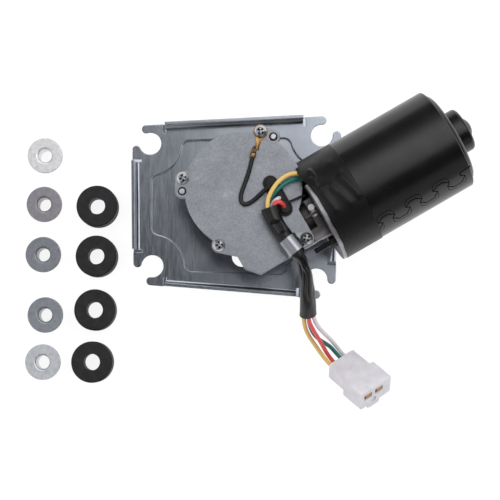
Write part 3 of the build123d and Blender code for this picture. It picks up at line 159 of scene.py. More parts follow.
# Routes, in millimetres: each wire's control points from end to end
ROUTES = {
    "ground_lead": [
        (15.6, 2.4, 70.6), (11.6, -0.9, 70.4), (7.2, -5.2, 69.5), (2.6, -8.6, 69.3),
        (-0.8, -8.4, 69.3), (-1.9, -4.8, 69.3), (-0.4, 0.6, 69.3), (2.4, 7.8, 69.4),
        (4.4, 15.0, 69.9), (6.2, 23.4, 70.1),
    ],
    "braided_lead": [
        (24.2, -7.9, 70.6), (28.8, -6.2, 70.9), (33.2, -4.1, 70.0), (35.2, -3.0, 66.5),
        (35.3, -2.9, 62.4),
    ],
    "yellow_lead": [
        (35.2, 8.5, 66.9), (31.4, 9.2, 70.4), (25.8, 8.4, 73.4), (20.4, 4.8, 75.0),
        (15.8, -1.4, 75.9), (12.8, -9.0, 75.9), (14.7, -16.2, 75.8),
    ],
    "green_lead": [
        (36.4, 5.9, 66.6), (31.8, 6.4, 69.6), (25.6, 4.6, 72.6), (20.2, 0.6, 73.5),
        (15.7, -4.6, 73.2), (12.6, -10.4, 72.0), (14.6, -16.2, 71.9),
    ],
    "white_lead": [
        (20.4, -5.2, 71.0), (19.2, -5.8, 73.0), (17.0, -7.6, 72.8), (15.6, -10.6, 71.7),
        (17.4, -15.2, 71.6),
    ],
    "red_lead": [
        (23.2, -10.0, 71.0), (22.3, -8.4, 74.0), (19.4, -7.4, 75.2), (16.9, -9.2, 75.0),
        (18.6, -14.7, 74.9),
    ],
    "yellow_tail": [
        (34.7, -67.6, 50.2), (34.9, -73.0, 44.0), (36.2, -79.2, 36.0), (39.2, -84.6, 27.8),
        (43.2, -89.6, 19.4), (46.1, -93.4, 13.3), (48.9, -97.1, 11.1), (52.4, -100.9, 11.3),
        (55.8, -103.8, 14.0),
    ],
    "green_tail": [
        (37.4, -65.9, 48.8), (37.7, -71.8, 42.1), (39.0, -78.0, 33.6), (42.4, -83.6, 24.6),
        (47.4, -86.9, 16.2), (52.2, -89.6, 10.0), (55.4, -93.1, 7.4), (58.9, -97.0, 7.6),
        (62.2, -99.9, 10.4),
    ],
    "red_tail": [
        (37.4, -69.2, 51.7), (37.7, -74.5, 45.7), (40.8, -80.0, 37.4), (44.2, -84.8, 28.2),
        (47.2, -89.0, 18.6), (49.6, -92.9, 10.6), (52.2, -96.5, 7.9), (55.5, -100.4, 8.1),
        (58.8, -103.3, 10.8),
    ],
    "white_tail": [
        (40.2, -67.4, 50.3), (40.6, -73.0, 43.9), (44.2, -78.6, 35.0), (48.4, -82.4, 25.4),
        (52.4, -85.6, 15.4), (55.6, -88.9, 6.6), (58.6, -92.6, 4.1), (62.0, -96.4, 4.4),
        (65.3, -99.3, 7.1),
    ],
}
SLEEVE_ROUTE = [
    (14.9, -10.8, 73.8), (17.3, -17.6, 73.8), (21.6, -24.8, 73.8), (32.4, -38.4, 73.8),
    (35.3, -46.6, 69.5), (36.5, -56.0, 62.0), (37.2, -63.8, 54.5), (37.6, -70.8, 46.5),
]

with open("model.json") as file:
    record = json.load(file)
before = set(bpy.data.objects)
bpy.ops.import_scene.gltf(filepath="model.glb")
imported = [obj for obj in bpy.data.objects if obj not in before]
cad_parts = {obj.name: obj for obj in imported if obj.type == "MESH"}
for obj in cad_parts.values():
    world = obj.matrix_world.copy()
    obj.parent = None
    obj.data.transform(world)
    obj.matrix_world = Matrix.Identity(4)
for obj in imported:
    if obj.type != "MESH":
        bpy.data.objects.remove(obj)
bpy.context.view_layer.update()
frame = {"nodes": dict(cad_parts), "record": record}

# A colour mix's three inputs and its output, by number: their names are shared with other types
SHARE, FIRST, SECOND, MIXED = 0, 6, 7, 2


def linear(hex_colour):
    """An sRGB hex colour as the linear values that the shaders take."""
    channels = [int(hex_colour[i:i + 2], 16) / 255 for i in (1, 3, 5)]
    return [c / 12.92 if c <= 0.04045 else ((c + 0.055) / 1.055) ** 2.4 for c in channels] + [1.0]


def per_mm(size):
    """A texture's scale for features of that size in millimetres."""
    return 1 / (size * MM)


def add_object(name, data):
    """A new object in the scene."""
    made = bpy.data.objects.new(name, data)
    bpy.context.collection.objects.link(made)
    return made


def aim_at(item, target):
    """Turns a camera or a lamp to a point."""
    item.rotation_euler = (target - item.location).to_track_quat("-Z", "Y").to_euler()


def final_mesh(item):
    """The mesh of a curve, or of a piece with its cuts made."""
    bpy.context.view_layer.update()
    depsgraph = bpy.context.evaluated_depsgraph_get()
    return bpy.data.meshes.new_from_object(item.evaluated_get(depsgraph))


def feed(node, inputs):
    """Gives a node its inputs: each is a number, a hex colour, an output to link, or a node,
    which stands for its first output."""
    for name, value in inputs.items():
        if isinstance(value, bpy.types.Node):
            value = value.outputs[0]
        if isinstance(value, bpy.types.NodeSocket):
            node.id_data.links.new(value, node.inputs[name])
        else:
            node.inputs[name].default_value = linear(value) if isinstance(value, str) else value


def add_node(tree, kind, inputs=None, stops=(), **settings):
    """Adds a node with its settings, its inputs' values or links, and a ramp's colour stops."""
    node = tree.nodes.new("ShaderNode" + kind)
    for name, value in settings.items():
        setattr(node, name, value)
    feed(node, inputs or {})
    for index, (place, colour) in enumerate(stops):
        elements = node.color_ramp.elements
        stop = elements[index] if index < len(elements) else elements.new(place)
        stop.position = place
        stop.color = linear(colour) if isinstance(colour, str) else (colour, colour, colour, 1.0)
    return node


def finish_of(name, colour, roughness, **values):
    """A new material; returns it with its node tree, its shader and the object's coordinates."""
    material = bpy.data.materials.new(name)
    material.use_nodes = True
    tree = material.node_tree
    shader = tree.nodes["Principled BSDF"]
    feed(shader, {"Base Color": colour, "Roughness": roughness})
    feed(shader, {key.replace("_", " "): value for key, value in values.items()})
    return material, tree, shader, add_node(tree, "TexCoord").outputs["Object"]


def mottled(tree, place, size, detail, stops, under=None):
    """A cloudy colour, in patches of that size in millimetres; it may shade one under it."""
    cloud = add_node(tree, "TexNoise", {"Vector": place, "Scale": per_mm(size), "Detail": detail})
    tint = add_node(tree, "ValToRGB", {"Fac": cloud}, stops)
    if not under:
        return tint
    return add_node(tree, "Mix", {SHARE: 1.0, FIRST: under, SECOND: tint},
                    data_type="RGBA", blend_type="MULTIPLY").outputs[MIXED]


def uneven(tree, place, size, detail, low, high):
    """A number that wanders between two values, in patches of that size in millimetres."""
    cloud = add_node(tree, "TexNoise", {"Vector": place, "Scale": per_mm(size), "Detail": detail})
    return add_node(tree, "MapRange", {
        "Value": cloud, "From Min": 0.3, "From Max": 0.7, "To Min": low, "To Max": high,
    })


def rough_skin(tree, place, size, detail, strength, depth, normal=None):
    """The normal of a skin whose relief has that size and depth in millimetres."""
    grain = add_node(tree, "TexNoise", {"Vector": place, "Scale": per_mm(size), "Detail": detail})
    bump = add_node(tree, "Bump", {"Height": grain, "Strength": strength, "Distance": depth * MM})
    if normal:
        feed(bump, {"Normal": normal})
    return bump


def edge_wear_and_light(tree, radius, colour, bright, faces=None):
    """A colour made bright on its edges, which is wear and also a painted highlight, and on faces
    where a share is given for them, which is painted light; returns it with the normal of a
    surface whose edges are rounded."""
    rounded = add_node(tree, "Bevel", {"Radius": radius}, samples=6)
    flat = add_node(tree, "NewGeometry").outputs["Normal"]
    likeness = add_node(tree, "VectorMath", {0: rounded, 1: flat}, operation="DOT_PRODUCT")
    wear_and_light = add_node(tree, "MapRange", {
        "Value": likeness.outputs["Value"], "From Min": 0.995, "From Max": 0.88,
    })
    if faces:
        wear_and_light = add_node(tree, "Math", {0: wear_and_light, 1: faces}, operation="MAXIMUM")
    mix = add_node(tree, "Mix", {SHARE: wear_and_light, FIRST: colour, SECOND: bright}, data_type="RGBA")
    return mix.outputs[MIXED], rounded


def painted_corner_shade(tree, colour, reach, dark):
    """A colour that darkens in narrow corners, found by an occlusion mask: painted shade."""
    corner = add_node(tree, "AmbientOcclusion", {"Distance": reach}, samples=8).outputs["AO"]
    share = add_node(tree, "MapRange", {"Value": corner, "From Min": 0.9, "From Max": 0.35})
    return add_node(tree, "Mix", {SHARE: share, FIRST: colour, SECOND: dark},
                    data_type="RGBA").outputs[MIXED]


def zinc_plated_steel():
    """Cold-rolled sheet, electroplated with zinc: cloudy grey-blue metal with fine streaks, bright
    on its edges as wear and as a painted highlight, with painted light on the upright faces of its
    folds."""
    material, tree, shader, place = finish_of("zinc_plated_steel", "#a4a9b2", 0.2, Metallic=1.0)
    tint = mottled(tree, place, 22, 4.0, [(0.32, "#9ba1ab"), (0.68, "#abb0b9")])
    drawn_out = add_node(tree, "Mapping", {"Vector": place, "Scale": (1.0, 0.12, 1.0)})
    facing = add_node(tree, "SeparateXYZ", {
        0: add_node(tree, "NewGeometry").outputs["True Normal"],
    })
    tilt = add_node(tree, "Math", {0: facing.outputs["Z"]}, operation="ABSOLUTE")
    # Upright faces, such as the walls of the folds, are painted light and made less metallic
    upright = add_node(tree, "MapRange", {"Value": tilt, "From Min": 0.75, "From Max": 0.35})
    metal_share = add_node(tree, "MapRange", {"Value": upright, "To Min": 1.0, "To Max": 0.35})
    colour, rounded = edge_wear_and_light(tree, 0.7 * MM, tint, "#e2e6ec", upright)
    feed(shader, {
        "Metallic": metal_share, "Base Color": colour,
        "Roughness": uneven(tree, drawn_out, 1.2, 3.0, 0.17, 0.23),
        "Normal": rough_skin(tree, drawn_out, 1.2, 3.0, 0.02, 0.05, rounded),
    })
    return material


def zinc_cover_sheet():
    """Zinc plated sheet with a dull passivated face: even grey, finely speckled, with a few
    faint stains and a rim made bright, which is wear and also a painted highlight."""
    material, tree, shader, place = finish_of("zinc_cover_sheet", "#b3b6bc", 0.48, Metallic=1.0)
    tint = mottled(tree, place, 9, 5.0, [(0.3, "#a3a6ac"), (0.62, "#afb2b8"), (0.74, "#bfc2c8")])
    speckled = mottled(tree, place, 0.9, 2.0, [(0.3, "#e2e3e6"), (0.7, "#ffffff")], tint)
    # Its rim made bright: wear, and a painted highlight
    colour, rounded = edge_wear_and_light(tree, 0.3 * MM, speckled, "#f2f3f5")
    skin = rough_skin(tree, place, 0.9, 2.0, 0.06, 0.06, rounded)
    feed(shader, {"Base Color": colour, "Normal": skin})
    return material


def die_cast_aluminium():
    """Aluminium as it leaves the die: mid grey, softly mottled, with a fine pitted skin, painted
    shade in its corners and round the neck, and edges made bright as wear and as a painted
    highlight."""
    material, tree, shader, place = finish_of("die_cast_aluminium", "#b0aeb2", 0.5, Metallic=1.0)
    tint = mottled(tree, place, 5, 5.0, [(0.3, "#a19fa3"), (0.7, "#bebcc0")])
    # Painted shade in the narrow corners
    corner_shaded = painted_corner_shade(tree, tint, 5 * MM, "#2a292b")
    # Edges made bright: wear, and a painted highlight
    before_neck_shade, rounded = edge_wear_and_light(tree, 0.3 * MM, corner_shaded, "#d8d8da")
    # Painted shade round the neck, in the channel between the cover and the motor flange
    neck = ALONG * 24 * MM + ACROSS * (MOTOR_OFFSET + 2 * MM) + Z * (65 * MM)
    away = add_node(tree, "VectorMath", {0: place, 1: neck[:]}, operation="DISTANCE")
    neck_shade = add_node(tree, "MapRange", {
        "Value": away.outputs["Value"], "From Min": 9 * MM, "From Max": 16 * MM,
        "To Min": 0.9, "To Max": 0.0,
    })
    colour = add_node(tree, "Mix", {SHARE: neck_shade, FIRST: before_neck_shade, SECOND: "#565153"},
                      data_type="RGBA").outputs[MIXED]
    skin = rough_skin(tree, place, 0.8, 3.0, 0.3, 0.1, rounded)
    feed(shader, {"Base Color": colour, "Normal": skin})
    return material


def bright_steel(name, colour, roughness, corner_shade_colour="#3a3a3c"):
    """Turned or pressed metal: bright, with soft tarnish, and darker in narrow corners: painted
    shade.
    """
    material, tree, shader, place = finish_of(name, colour, roughness, Metallic=1.0)
    # The last colour is the painted shade in narrow corners
    feed(shader, {
        "Base Color": painted_corner_shade(tree, colour, 1.2 * MM, corner_shade_colour),
        "Roughness": uneven(tree, place, 3, 3.0, 0.8 * roughness, 1.3 * roughness),
    })
    return material


def satin_black_paint():
    """Sprayed black enamel on drawn steel: satin, with a faint orange peel and dust specks."""
    material, tree, shader, place = finish_of("satin_black_paint", "#0b0b0c", 0.24, IOR=1.5)
    dust = add_node(tree, "TexVoronoi", {"Vector": place, "Scale": per_mm(9)})
    feed(shader, {
        "Base Color": add_node(tree, "ValToRGB", {"Fac": dust},
                               [(0.0, "#8a8782"), (0.022, "#0b0b0c")]),
        "Roughness": uneven(tree, place, 11, 4.0, 0.22, 0.3),
        "Normal": rough_skin(tree, place, 1.1, 2.0, 0.1, 0.05),
    })
    return material


def black_pvc_tape():
    """Plasticised PVC tape, calendered: dark grey-black with a soft sheen and small wrinkles."""
    material, tree, shader, place = finish_of("black_pvc_tape", "#0c0c0e", 0.4, IOR=1.38)
    feed(shader, {"Normal": rough_skin(tree, place, 2.6, 3.0, 0.25, 0.15)})
    return material


def plastic(name, colour, roughness, grain=1.5, strength=0.12):
    """Extruded or moulded polymer: even colour and a skin with faint flow marks."""
    material, tree, shader, place = finish_of(name, colour, roughness, IOR=1.49)
    feed(shader, {"Normal": rough_skin(tree, place, grain, 2.0, strength, 0.08)})
    return material


def moulded_rubber():
    """Compression-moulded black rubber: matt, with a little grey bloom."""
    material, tree, shader, place = finish_of("moulded_rubber", "#151517", 0.6, IOR=1.45)
    bloom = mottled(tree, place, 4, 5.0, [(0.35, "#131315"), (0.75, "#202023")])
    feed(shader, {"Base Color": bloom, "Normal": rough_skin(tree, place, 0.9, 2.0, 0.2, 0.08)})
    return material


def natural_nylon():
    """Undyed moulded nylon: milky, lets light in, with a soft gloss."""
    material, tree, shader, place = finish_of(
        "natural_nylon", "#e3e0e6", 0.38, IOR=1.53, Subsurface_Weight=0.6,
        Subsurface_Scale=2 * MM, Subsurface_Radius=(1.0, 0.9, 1.0), Transmission_Weight=0.12,
    )
    cloud = mottled(tree, place, 6, 2.0, [(0.3, "#dcd8e0"), (0.7, "#eae8ec")])
    feed(shader, {"Base Color": cloud})
    return material


def zinc_plated_sleeves():
    """Turned steel sleeves from mixed plating batches: the first and last in the row are
    bright, those between them dull grey with a brushed face."""
    material, tree, shader, place = finish_of("zinc_plated_sleeves", "#a5a7ad", 0.34, Metallic=0.8)
    along = add_node(tree, "SeparateXYZ", {0: place}).outputs["Y"]
    row = add_node(tree, "MapRange", {
        "Value": along, "From Min": -115 * MM, "From Max": 40 * MM,
    })
    batch = add_node(tree, "ValToRGB", {"Fac": row}, [
        (0.0, "#e3e6ec"), (0.18, "#e3e6ec"), (0.21, "#a3a8b0"), (0.6, "#94979e"),
        (0.64, "#a39fa6"), (0.8, "#a39fa6"), (0.83, "#fafafc"),
    ])
    stained = mottled(tree, place, 2.2, 5.0, [(0.3, "#e4e4e6"), (0.7, "#ffffff")], batch)
    # Edges made bright: wear, and a painted highlight
    colour, rounded = edge_wear_and_light(tree, 0.25 * MM, stained, "#fbfbfc")
    skin = rough_skin(tree, place, 2.2, 5.0, 0.15, 0.06, rounded)
    feed(shader, {"Base Color": colour, "Normal": skin})
    return material


# Each bright steel's last colour, where one is given, is the painted shade in its narrow corners
MATERIALS = {
    "zinc_steel": zinc_plated_steel(),
    "cover_sheet": zinc_cover_sheet(),
    "cast_aluminium": die_cast_aluminium(),
    "gasket_paper": plastic("gasket_paper", "#3a3a38", 0.8),
    # Nearly black: the painted shade in the screws' cross recesses
    "screw_steel": bright_steel("plated_screw_steel", "#d2d4d8", 0.3, "#18181a"),
    "spindle_steel": bright_steel("ground_spindle_steel", "#b3b5b9", 0.22),
    "sintered_bronze": bright_steel("sintered_bronze", "#a98352", 0.5),
    "gear_plastic": plastic("moulded_acetal", "#dcd9cf", 0.4),
    "core_steel": bright_steel("stamped_core_steel", "#7c7f85", 0.45),
    "copper": bright_steel("enamelled_copper", "#a86a4a", 0.35),
    "black_paint": satin_black_paint(),
    "black_tape": black_pvc_tape(),
    "ferrite": plastic("pressed_ferrite", "#3d3d40", 0.6),
    "black_bolt": bright_steel("black_oxide_steel", "#2a2a2c", 0.4),
    "phenolic": plastic("phenolic_laminate", "#6a4526", 0.5),
    "carbon": plastic("pressed_carbon", "#2b2b2c", 0.6),
    "black_rubber": moulded_rubber(),
    # Dark brown: the painted shade in the brass parts' corners
    "contact_brass": bright_steel("stamped_brass", "#b08c5c", 0.36, "#3c2814"),
    "black_braid": plastic("braided_cotton", "#242426", 0.75, grain=0.7, strength=0.5),
    "black_wire": plastic("black_pvc_wire", "#1a1a1c", 0.36),
    "yellow_wire": plastic("yellow_pvc_wire", "#dbb768", 0.38),
    "green_wire": plastic("green_pvc_wire", "#176b62", 0.36),
    "white_wire": plastic("white_pvc_wire", "#d8d3d8", 0.38),
    "red_wire": plastic("red_pvc_wire", "#d8494d", 0.38),
    "black_sleeve": plastic("black_pvc_sleeve", "#0a0a0c", 0.3, grain=3.0, strength=0.3),
    "clip_steel": bright_steel("pressed_clip_steel", "#a9abb1", 0.3),
    "natural_nylon": natural_nylon(),
    "plated_sleeve": zinc_plated_sleeves(),
}


def white_studio():
    """A white backdrop, with soft panels above and a dark gap on the lower right."""
    world = bpy.data.worlds.new("studio")
    bpy.context.scene.world = world
    world.use_nodes = True
    tree = world.node_tree
    tree.nodes.clear()
    direction = add_node(tree, "TexCoord").outputs["Generated"]
    lean = add_node(tree, "VectorMath", {0: direction, 1: ACROSS}, operation="DOT_PRODUCT")
    share = add_node(tree, "MapRange", {
        "Value": lean.outputs["Value"], "From Min": -1.0, "From Max": 1.0,
    })
    panels = add_node(tree, "ValToRGB", {"Fac": share}, [
        (0.0, 0.3), (0.05, 0.25), (0.14, 1.0), (0.64, 1.0), (0.67, 0.08), (0.89, 0.08),
        (0.92, 1.0), (1.0, 1.0),
    ])
    slope = add_node(tree, "VectorMath", {0: direction, 1: PANEL_SLOPE},
                     operation="DOT_PRODUCT").outputs["Value"]
    place = add_node(tree, "MapRange", {"Value": slope, "From Min": -0.25, "From Max": 0.25})
    ceiling = add_node(tree, "ValToRGB", {"Fac": place}, [
        (0.0, 0.34), (0.22, 0.12), (0.4, 0.0), (0.57, 0.0), (0.69, 0.5), (0.79, 1.0),
    ])
    turn = add_node(tree, "MapRange", {"Value": slope, "From Min": -1.0, "From Max": 1.0})
    sides = add_node(tree, "ValToRGB", {"Fac": turn}, [
        (0.0, 0.3), (0.35, 0.2), (0.5, 0.2), (0.62, 0.28), (1.0, 0.34),
    ])
    height = add_node(tree, "SeparateXYZ", {0: direction}).outputs["Z"]
    low = add_node(tree, "MapRange", {"Value": height, "From Min": 0.88, "From Max": 0.68})
    around = add_node(tree, "Mix", {SHARE: low, FIRST: ceiling, SECOND: sides},
                      data_type="RGBA").outputs[MIXED]
    mirrored = add_node(tree, "Mix", {SHARE: 1.0, FIRST: around, SECOND: panels},
                        data_type="RGBA", blend_type="MULTIPLY").outputs[MIXED]
    rays = add_node(tree, "LightPath").outputs
    bounced = add_node(tree, "Math", {
        0: rays["Is Glossy Ray"], 1: rays["Is Transmission Ray"],
    }, operation="MAXIMUM")
    sky = add_node(tree, "Background", {"Color": "#ffffff", "Strength": SKY_STRENGTH})
    studio = add_node(tree, "Background", {"Color": mirrored, "Strength": PANEL_STRENGTH})
    white = add_node(tree, "Background", {"Color": "#ffffff", "Strength": 1.0})
    shine = add_node(tree, "MixShader", {0: bounced, 1: sky, 2: studio})
    seen = add_node(tree, "MixShader", {0: rays["Is Camera Ray"], 1: shine, 2: white})
    add_node(tree, "OutputWorld", {"Surface": seen})


def white_table():
    """A wide white sheet just under the part: matt paper that glows a little where it is seen
    straight or in a mirror, so that it fades into the backdrop."""
    mesh = bpy.data.meshes.new("table")
    half = 1.5
    corners = [(-half, -half, 0), (half, -half, 0), (half, half, 0), (-half, half, 0)]
    mesh.from_pydata(corners, [], [(0, 1, 2, 3)])
    table = add_object("table", mesh)
    table.location.z = -0.2 * MM
    material = bpy.data.materials.new("white_table")
    material.use_nodes = True
    tree = material.node_tree
    paper = tree.nodes["Principled BSDF"]
    feed(paper, {"Base Color": "#e4e4e6", "Roughness": 0.9, "Specular IOR Level": 0.0})
    rays = add_node(tree, "LightPath").outputs
    direct = add_node(tree, "Math", {
        0: rays["Is Camera Ray"], 1: rays["Is Glossy Ray"],
    }, operation="MAXIMUM")
    glow = add_node(tree, "Emission", {"Color": "#ffffff", "Strength": TABLE_GLOW})
    shade = add_node(tree, "BsdfDiffuse", {"Color": (0.2, 0.2, 0.2, 1.0)})
    lit = add_node(tree, "AddShader", {0: shade, 1: glow})
    feed(tree.nodes["Material Output"], {
        "Surface": add_node(tree, "MixShader", {0: direct, 1: paper, 2: lit}),
    })
    mesh.materials.append(material)


def lamp(name, place, size, power):
    """A soft box at a place, turned to the part."""
    light = bpy.data.lights.new(name, "AREA")
    light.shape = "SQUARE"
    light.size = size
    light.energy = power
    soft_box = add_object(name, light)
    soft_box.location = place
    aim_at(soft_box, LAMP_TARGET)
    # Metal and paint mirror the panels that the world draws, not the lamps themselves
    soft_box.visible_glossy = False


def set_camera():
    """The camera at the photograph's angle and framing."""
    camera = bpy.data.cameras.new("camera")
    camera.sensor_width = SENSOR_WIDTH
    camera.lens = SENSOR_WIDTH * CAMERA_HEIGHT / VIEW_WIDTH
    eye = add_object("camera", camera)
    eye.location = CAMERA_TARGET + Vector((0, -CAMERA_BACK, CAMERA_HEIGHT))
    aim_at(eye, CAMERA_TARGET)
    bpy.context.scene.camera = eye
    bpy.context.scene.view_settings.view_transform = "Standard"


def route_curve(name, points, radius):
    """A smooth cord on its control points."""
    curve = bpy.data.curves.new(name, "CURVE")
    curve.dimensions = "3D"
    spline = curve.splines.new("NURBS")
    spline.points.add(len(points) - 1)
    for control, point in zip(spline.points, points):
        control.co = (*(Vector(point) * MM), 1.0)
    spline.order_u = 3
    spline.use_endpoint_u = True
    spline.resolution_u = 14
    curve.bevel_depth = radius
    curve.bevel_resolution = 6
    curve.use_fill_caps = True
    return add_object(name, curve)


def route_points(points):
    """The points of a route's smooth line, read from its spline."""
    line = route_curve("route_line", points, 0.0)
    mesh = final_mesh(line)
    found = [vertex.co.copy() for vertex in mesh.vertices]
    bpy.data.objects.remove(line)
    bpy.data.meshes.remove(mesh)
    return found


def new_piece(name, slot, node=None, body="root"):
    """An empty piece with its material, which rides on a body and may stand for a CAD node."""
    piece = add_object(name, bpy.data.meshes.new(name))
    piece.data.materials.append(MATERIALS[slot])
    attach(piece, body)
    if node:
        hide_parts(node)
    return piece


def fill_mesh(piece, skins, sharp=None):
    """Makes a piece's faces from skins: each is some rows of points, and whether its ends are
    capped. Edges that turn by more than the sharp angle, in degrees, are kept crisp."""
    form = bmesh.new()
    for rows, capped in skins:
        rings = [[form.verts.new(point) for point in row] for row in rows]
        for low, high in zip(rings, rings[1:]):
            for i in range(len(low)):
                j = (i + 1) % len(low)
                form.faces.new((low[i], low[j], high[j], high[i]))
        if capped:
            form.faces.new(list(reversed(rings[0])))
            form.faces.new(rings[-1])
    bmesh.ops.remove_doubles(form, verts=form.verts, dist=0.001 * MM)
    bmesh.ops.recalc_face_normals(form, faces=form.faces)
    for face in form.faces:
        face.smooth = True
    for edge in form.edges:
        if sharp and len(edge.link_faces) == 2 and edge.calc_face_angle(0) > radians(sharp):
            edge.smooth = False
    form.to_mesh(piece.data)
    form.free()


def turns(count):
    """That many angles round a circle."""
    return [2 * pi * k / count for k in range(count)]


def ring_of(centre, side, up, wide, tall, count):
    """Points round an ellipse."""
    return [centre + side * (wide * cos(a)) + up * (tall * sin(a)) for a in turns(count)]


def turned(centre, steps, count):
    """Rings round an upright axis, by their (radius, height) in millimetres."""
    return [ring_of(centre + Z * (height * MM), X, Y, radius * MM, radius * MM, count)
            for radius, height in steps]


def frames_along(points):
    """A side and an up vector at each point of a line, turned as little as may be."""
    last = len(points) - 1
    side = (points[1] - points[0]).cross(Z).normalized()
    frames = []
    for i in range(len(points)):
        run = (points[min(i + 1, last)] - points[max(i - 1, 0)]).normalized()
        side = (side - run * side.dot(run)).normalized()
        frames.append((side, side.cross(run).normalized()))
    return frames


def bell(value, middle, width):
    """A smooth bump of height 1 round a middle."""
    return exp(-(((value - middle) / width) ** 2))


def between(value, keys):
    """The value of a smooth line through some keys, each a place and a height."""
    for (low, start), (high, end) in zip(keys, keys[1:]):
        if value <= high:
            share = max(0.0, (value - low) / (high - low))
            return start + (end - start) * share * share * (3 - 2 * share)
    return keys[-1][1]


# The sleeve's width and height over its round size, from its mouth to its cut end: it is
# held round in the clip, pinched behind it and a little flat at its end
SLEEVE_WIDTH = [(0, 1.12), (0.1, 1.0), (0.26, 0.99), (0.4, 0.97), (0.44, 0.66), (0.5, 0.7),
                (0.65, 0.82), (0.8, 0.94), (0.97, 1.04), (1, 1.1)]
SLEEVE_HEIGHT = [(0, 0.9), (0.12, 0.95), (0.4, 0.98), (0.46, 1.02), (0.6, 0.98), (0.8, 0.86),
                 (1, 0.84)]
# Each of its creases: where it starts and ends along the sleeve, its angle and how fast that
# turns, and its width and depth
SLEEVE_CREASES = [
    (0.42, 0.6, 1.9, 4.0, 0.24, 0.24), (0.43, 0.66, 0.75, -2.0, 0.22, 0.2),
    (0.5, 0.94, 1.2, 0.3, 0.2, 0.2), (0.68, 0.98, 2.3, -0.8, 0.3, 0.08),
]


def sleeve_point(share, angle, inset):
    """How far the sleeve's wall stands out, with the fold and lip at its mouth and its creases."""
    fold = 0.5 * between(share, [(0.1, 0), (0.14, 1), (0.22, 0.9), (0.262, 0)])
    fold *= bell(angle, 1.45 + 2.4 * (share - 0.18), 0.5)
    lip = 0.07 * bell(share, 0.118, 0.014) * bell(angle, 1.6, 0.9)
    lip += 0.06 * bell(angle, 2.3 + 3 * (share - 0.18), 0.16) * bell(share, 0.19, 0.06)
    crease = 0.0
    for start, end, middle, swing, width, depth in SLEEVE_CREASES:
        middle_share = (start + end) / 2
        fade = between(share, [(start, 0), (start + 0.07, 1), (end - 0.1, 1), (end, 0)])
        path = middle + swing * (share - middle_share) + 0.12 * sin(22 * share)
        crease += depth * fade * bell(angle, path, width)
    ripple = 0.012 * sin(5 * angle + 31 * share) * sin(17 * share + 1)
    return (SLEEVE_R - inset) * (1 - fold + lip - crease + ripple)


def creased_sleeve():
    """The limp sleeve over the wires: a wall with its inside, open at both ends."""
    points = route_points(SLEEVE_ROUTE)
    frames = frames_along(points)
    around = 64
    walls = []
    for inset in (0.0, SLEEVE_WALL):
        rows = []
        for i, (point, (side, up)) in enumerate(zip(points, frames)):
            share = i / (len(points) - 1)
            wide, tall = between(share, SLEEVE_WIDTH), between(share, SLEEVE_HEIGHT)
            row = []
            for angle in turns(around):
                reach = sleeve_point(share, angle, inset)
                out = side * (wide * cos(angle)) + up * (tall * sin(angle))
                row.append(point + out * reach)
            rows.append(row)
        walls.append(rows)
    piece = new_piece("creased_sleeve", "black_sleeve", "harness_sleeve")
    fill_mesh(piece, [(walls[0] + walls[1][::-1] + walls[0][:1], False)], 50)


def rounded_frame(origin, side, up, wide, tall, corner):
    """Points round a rectangle with round corners."""
    row = []
    for quarter, (across, high) in enumerate(((1, 1), (-1, 1), (-1, -1), (1, -1))):
        centre = origin + side * (across * (wide / 2 - corner)) + up * (high * (tall / 2 - corner))
        for step in range(7):
            angle = pi / 2 * (quarter + step / 6)
            row.append(centre + side * (corner * cos(angle)) + up * (corner * sin(angle)))
    return row


def carve(piece, cutters):
    """Cuts shapes out of a piece, or joins them to it; each is some rows and an operation."""
    tools = []
    for rows, operation in cutters:
        tool = add_object("tool", bpy.data.meshes.new("tool"))
        fill_mesh(tool, [(rows, True)])
        cut = piece.modifiers.new("cut", "BOOLEAN")
        cut.object = tool
        cut.operation = operation
        cut.solver = "EXACT"
        tools.append(tool)
    mesh = final_mesh(piece)
    piece.modifiers.clear()
    mesh.materials.clear()
    mesh.materials.append(piece.data.materials[0])
    piece.data = mesh
    for tool in tools:
        bpy.data.objects.remove(tool)
    mesh.shade_smooth()
    mesh.set_sharp_from_angle(angle=radians(35))


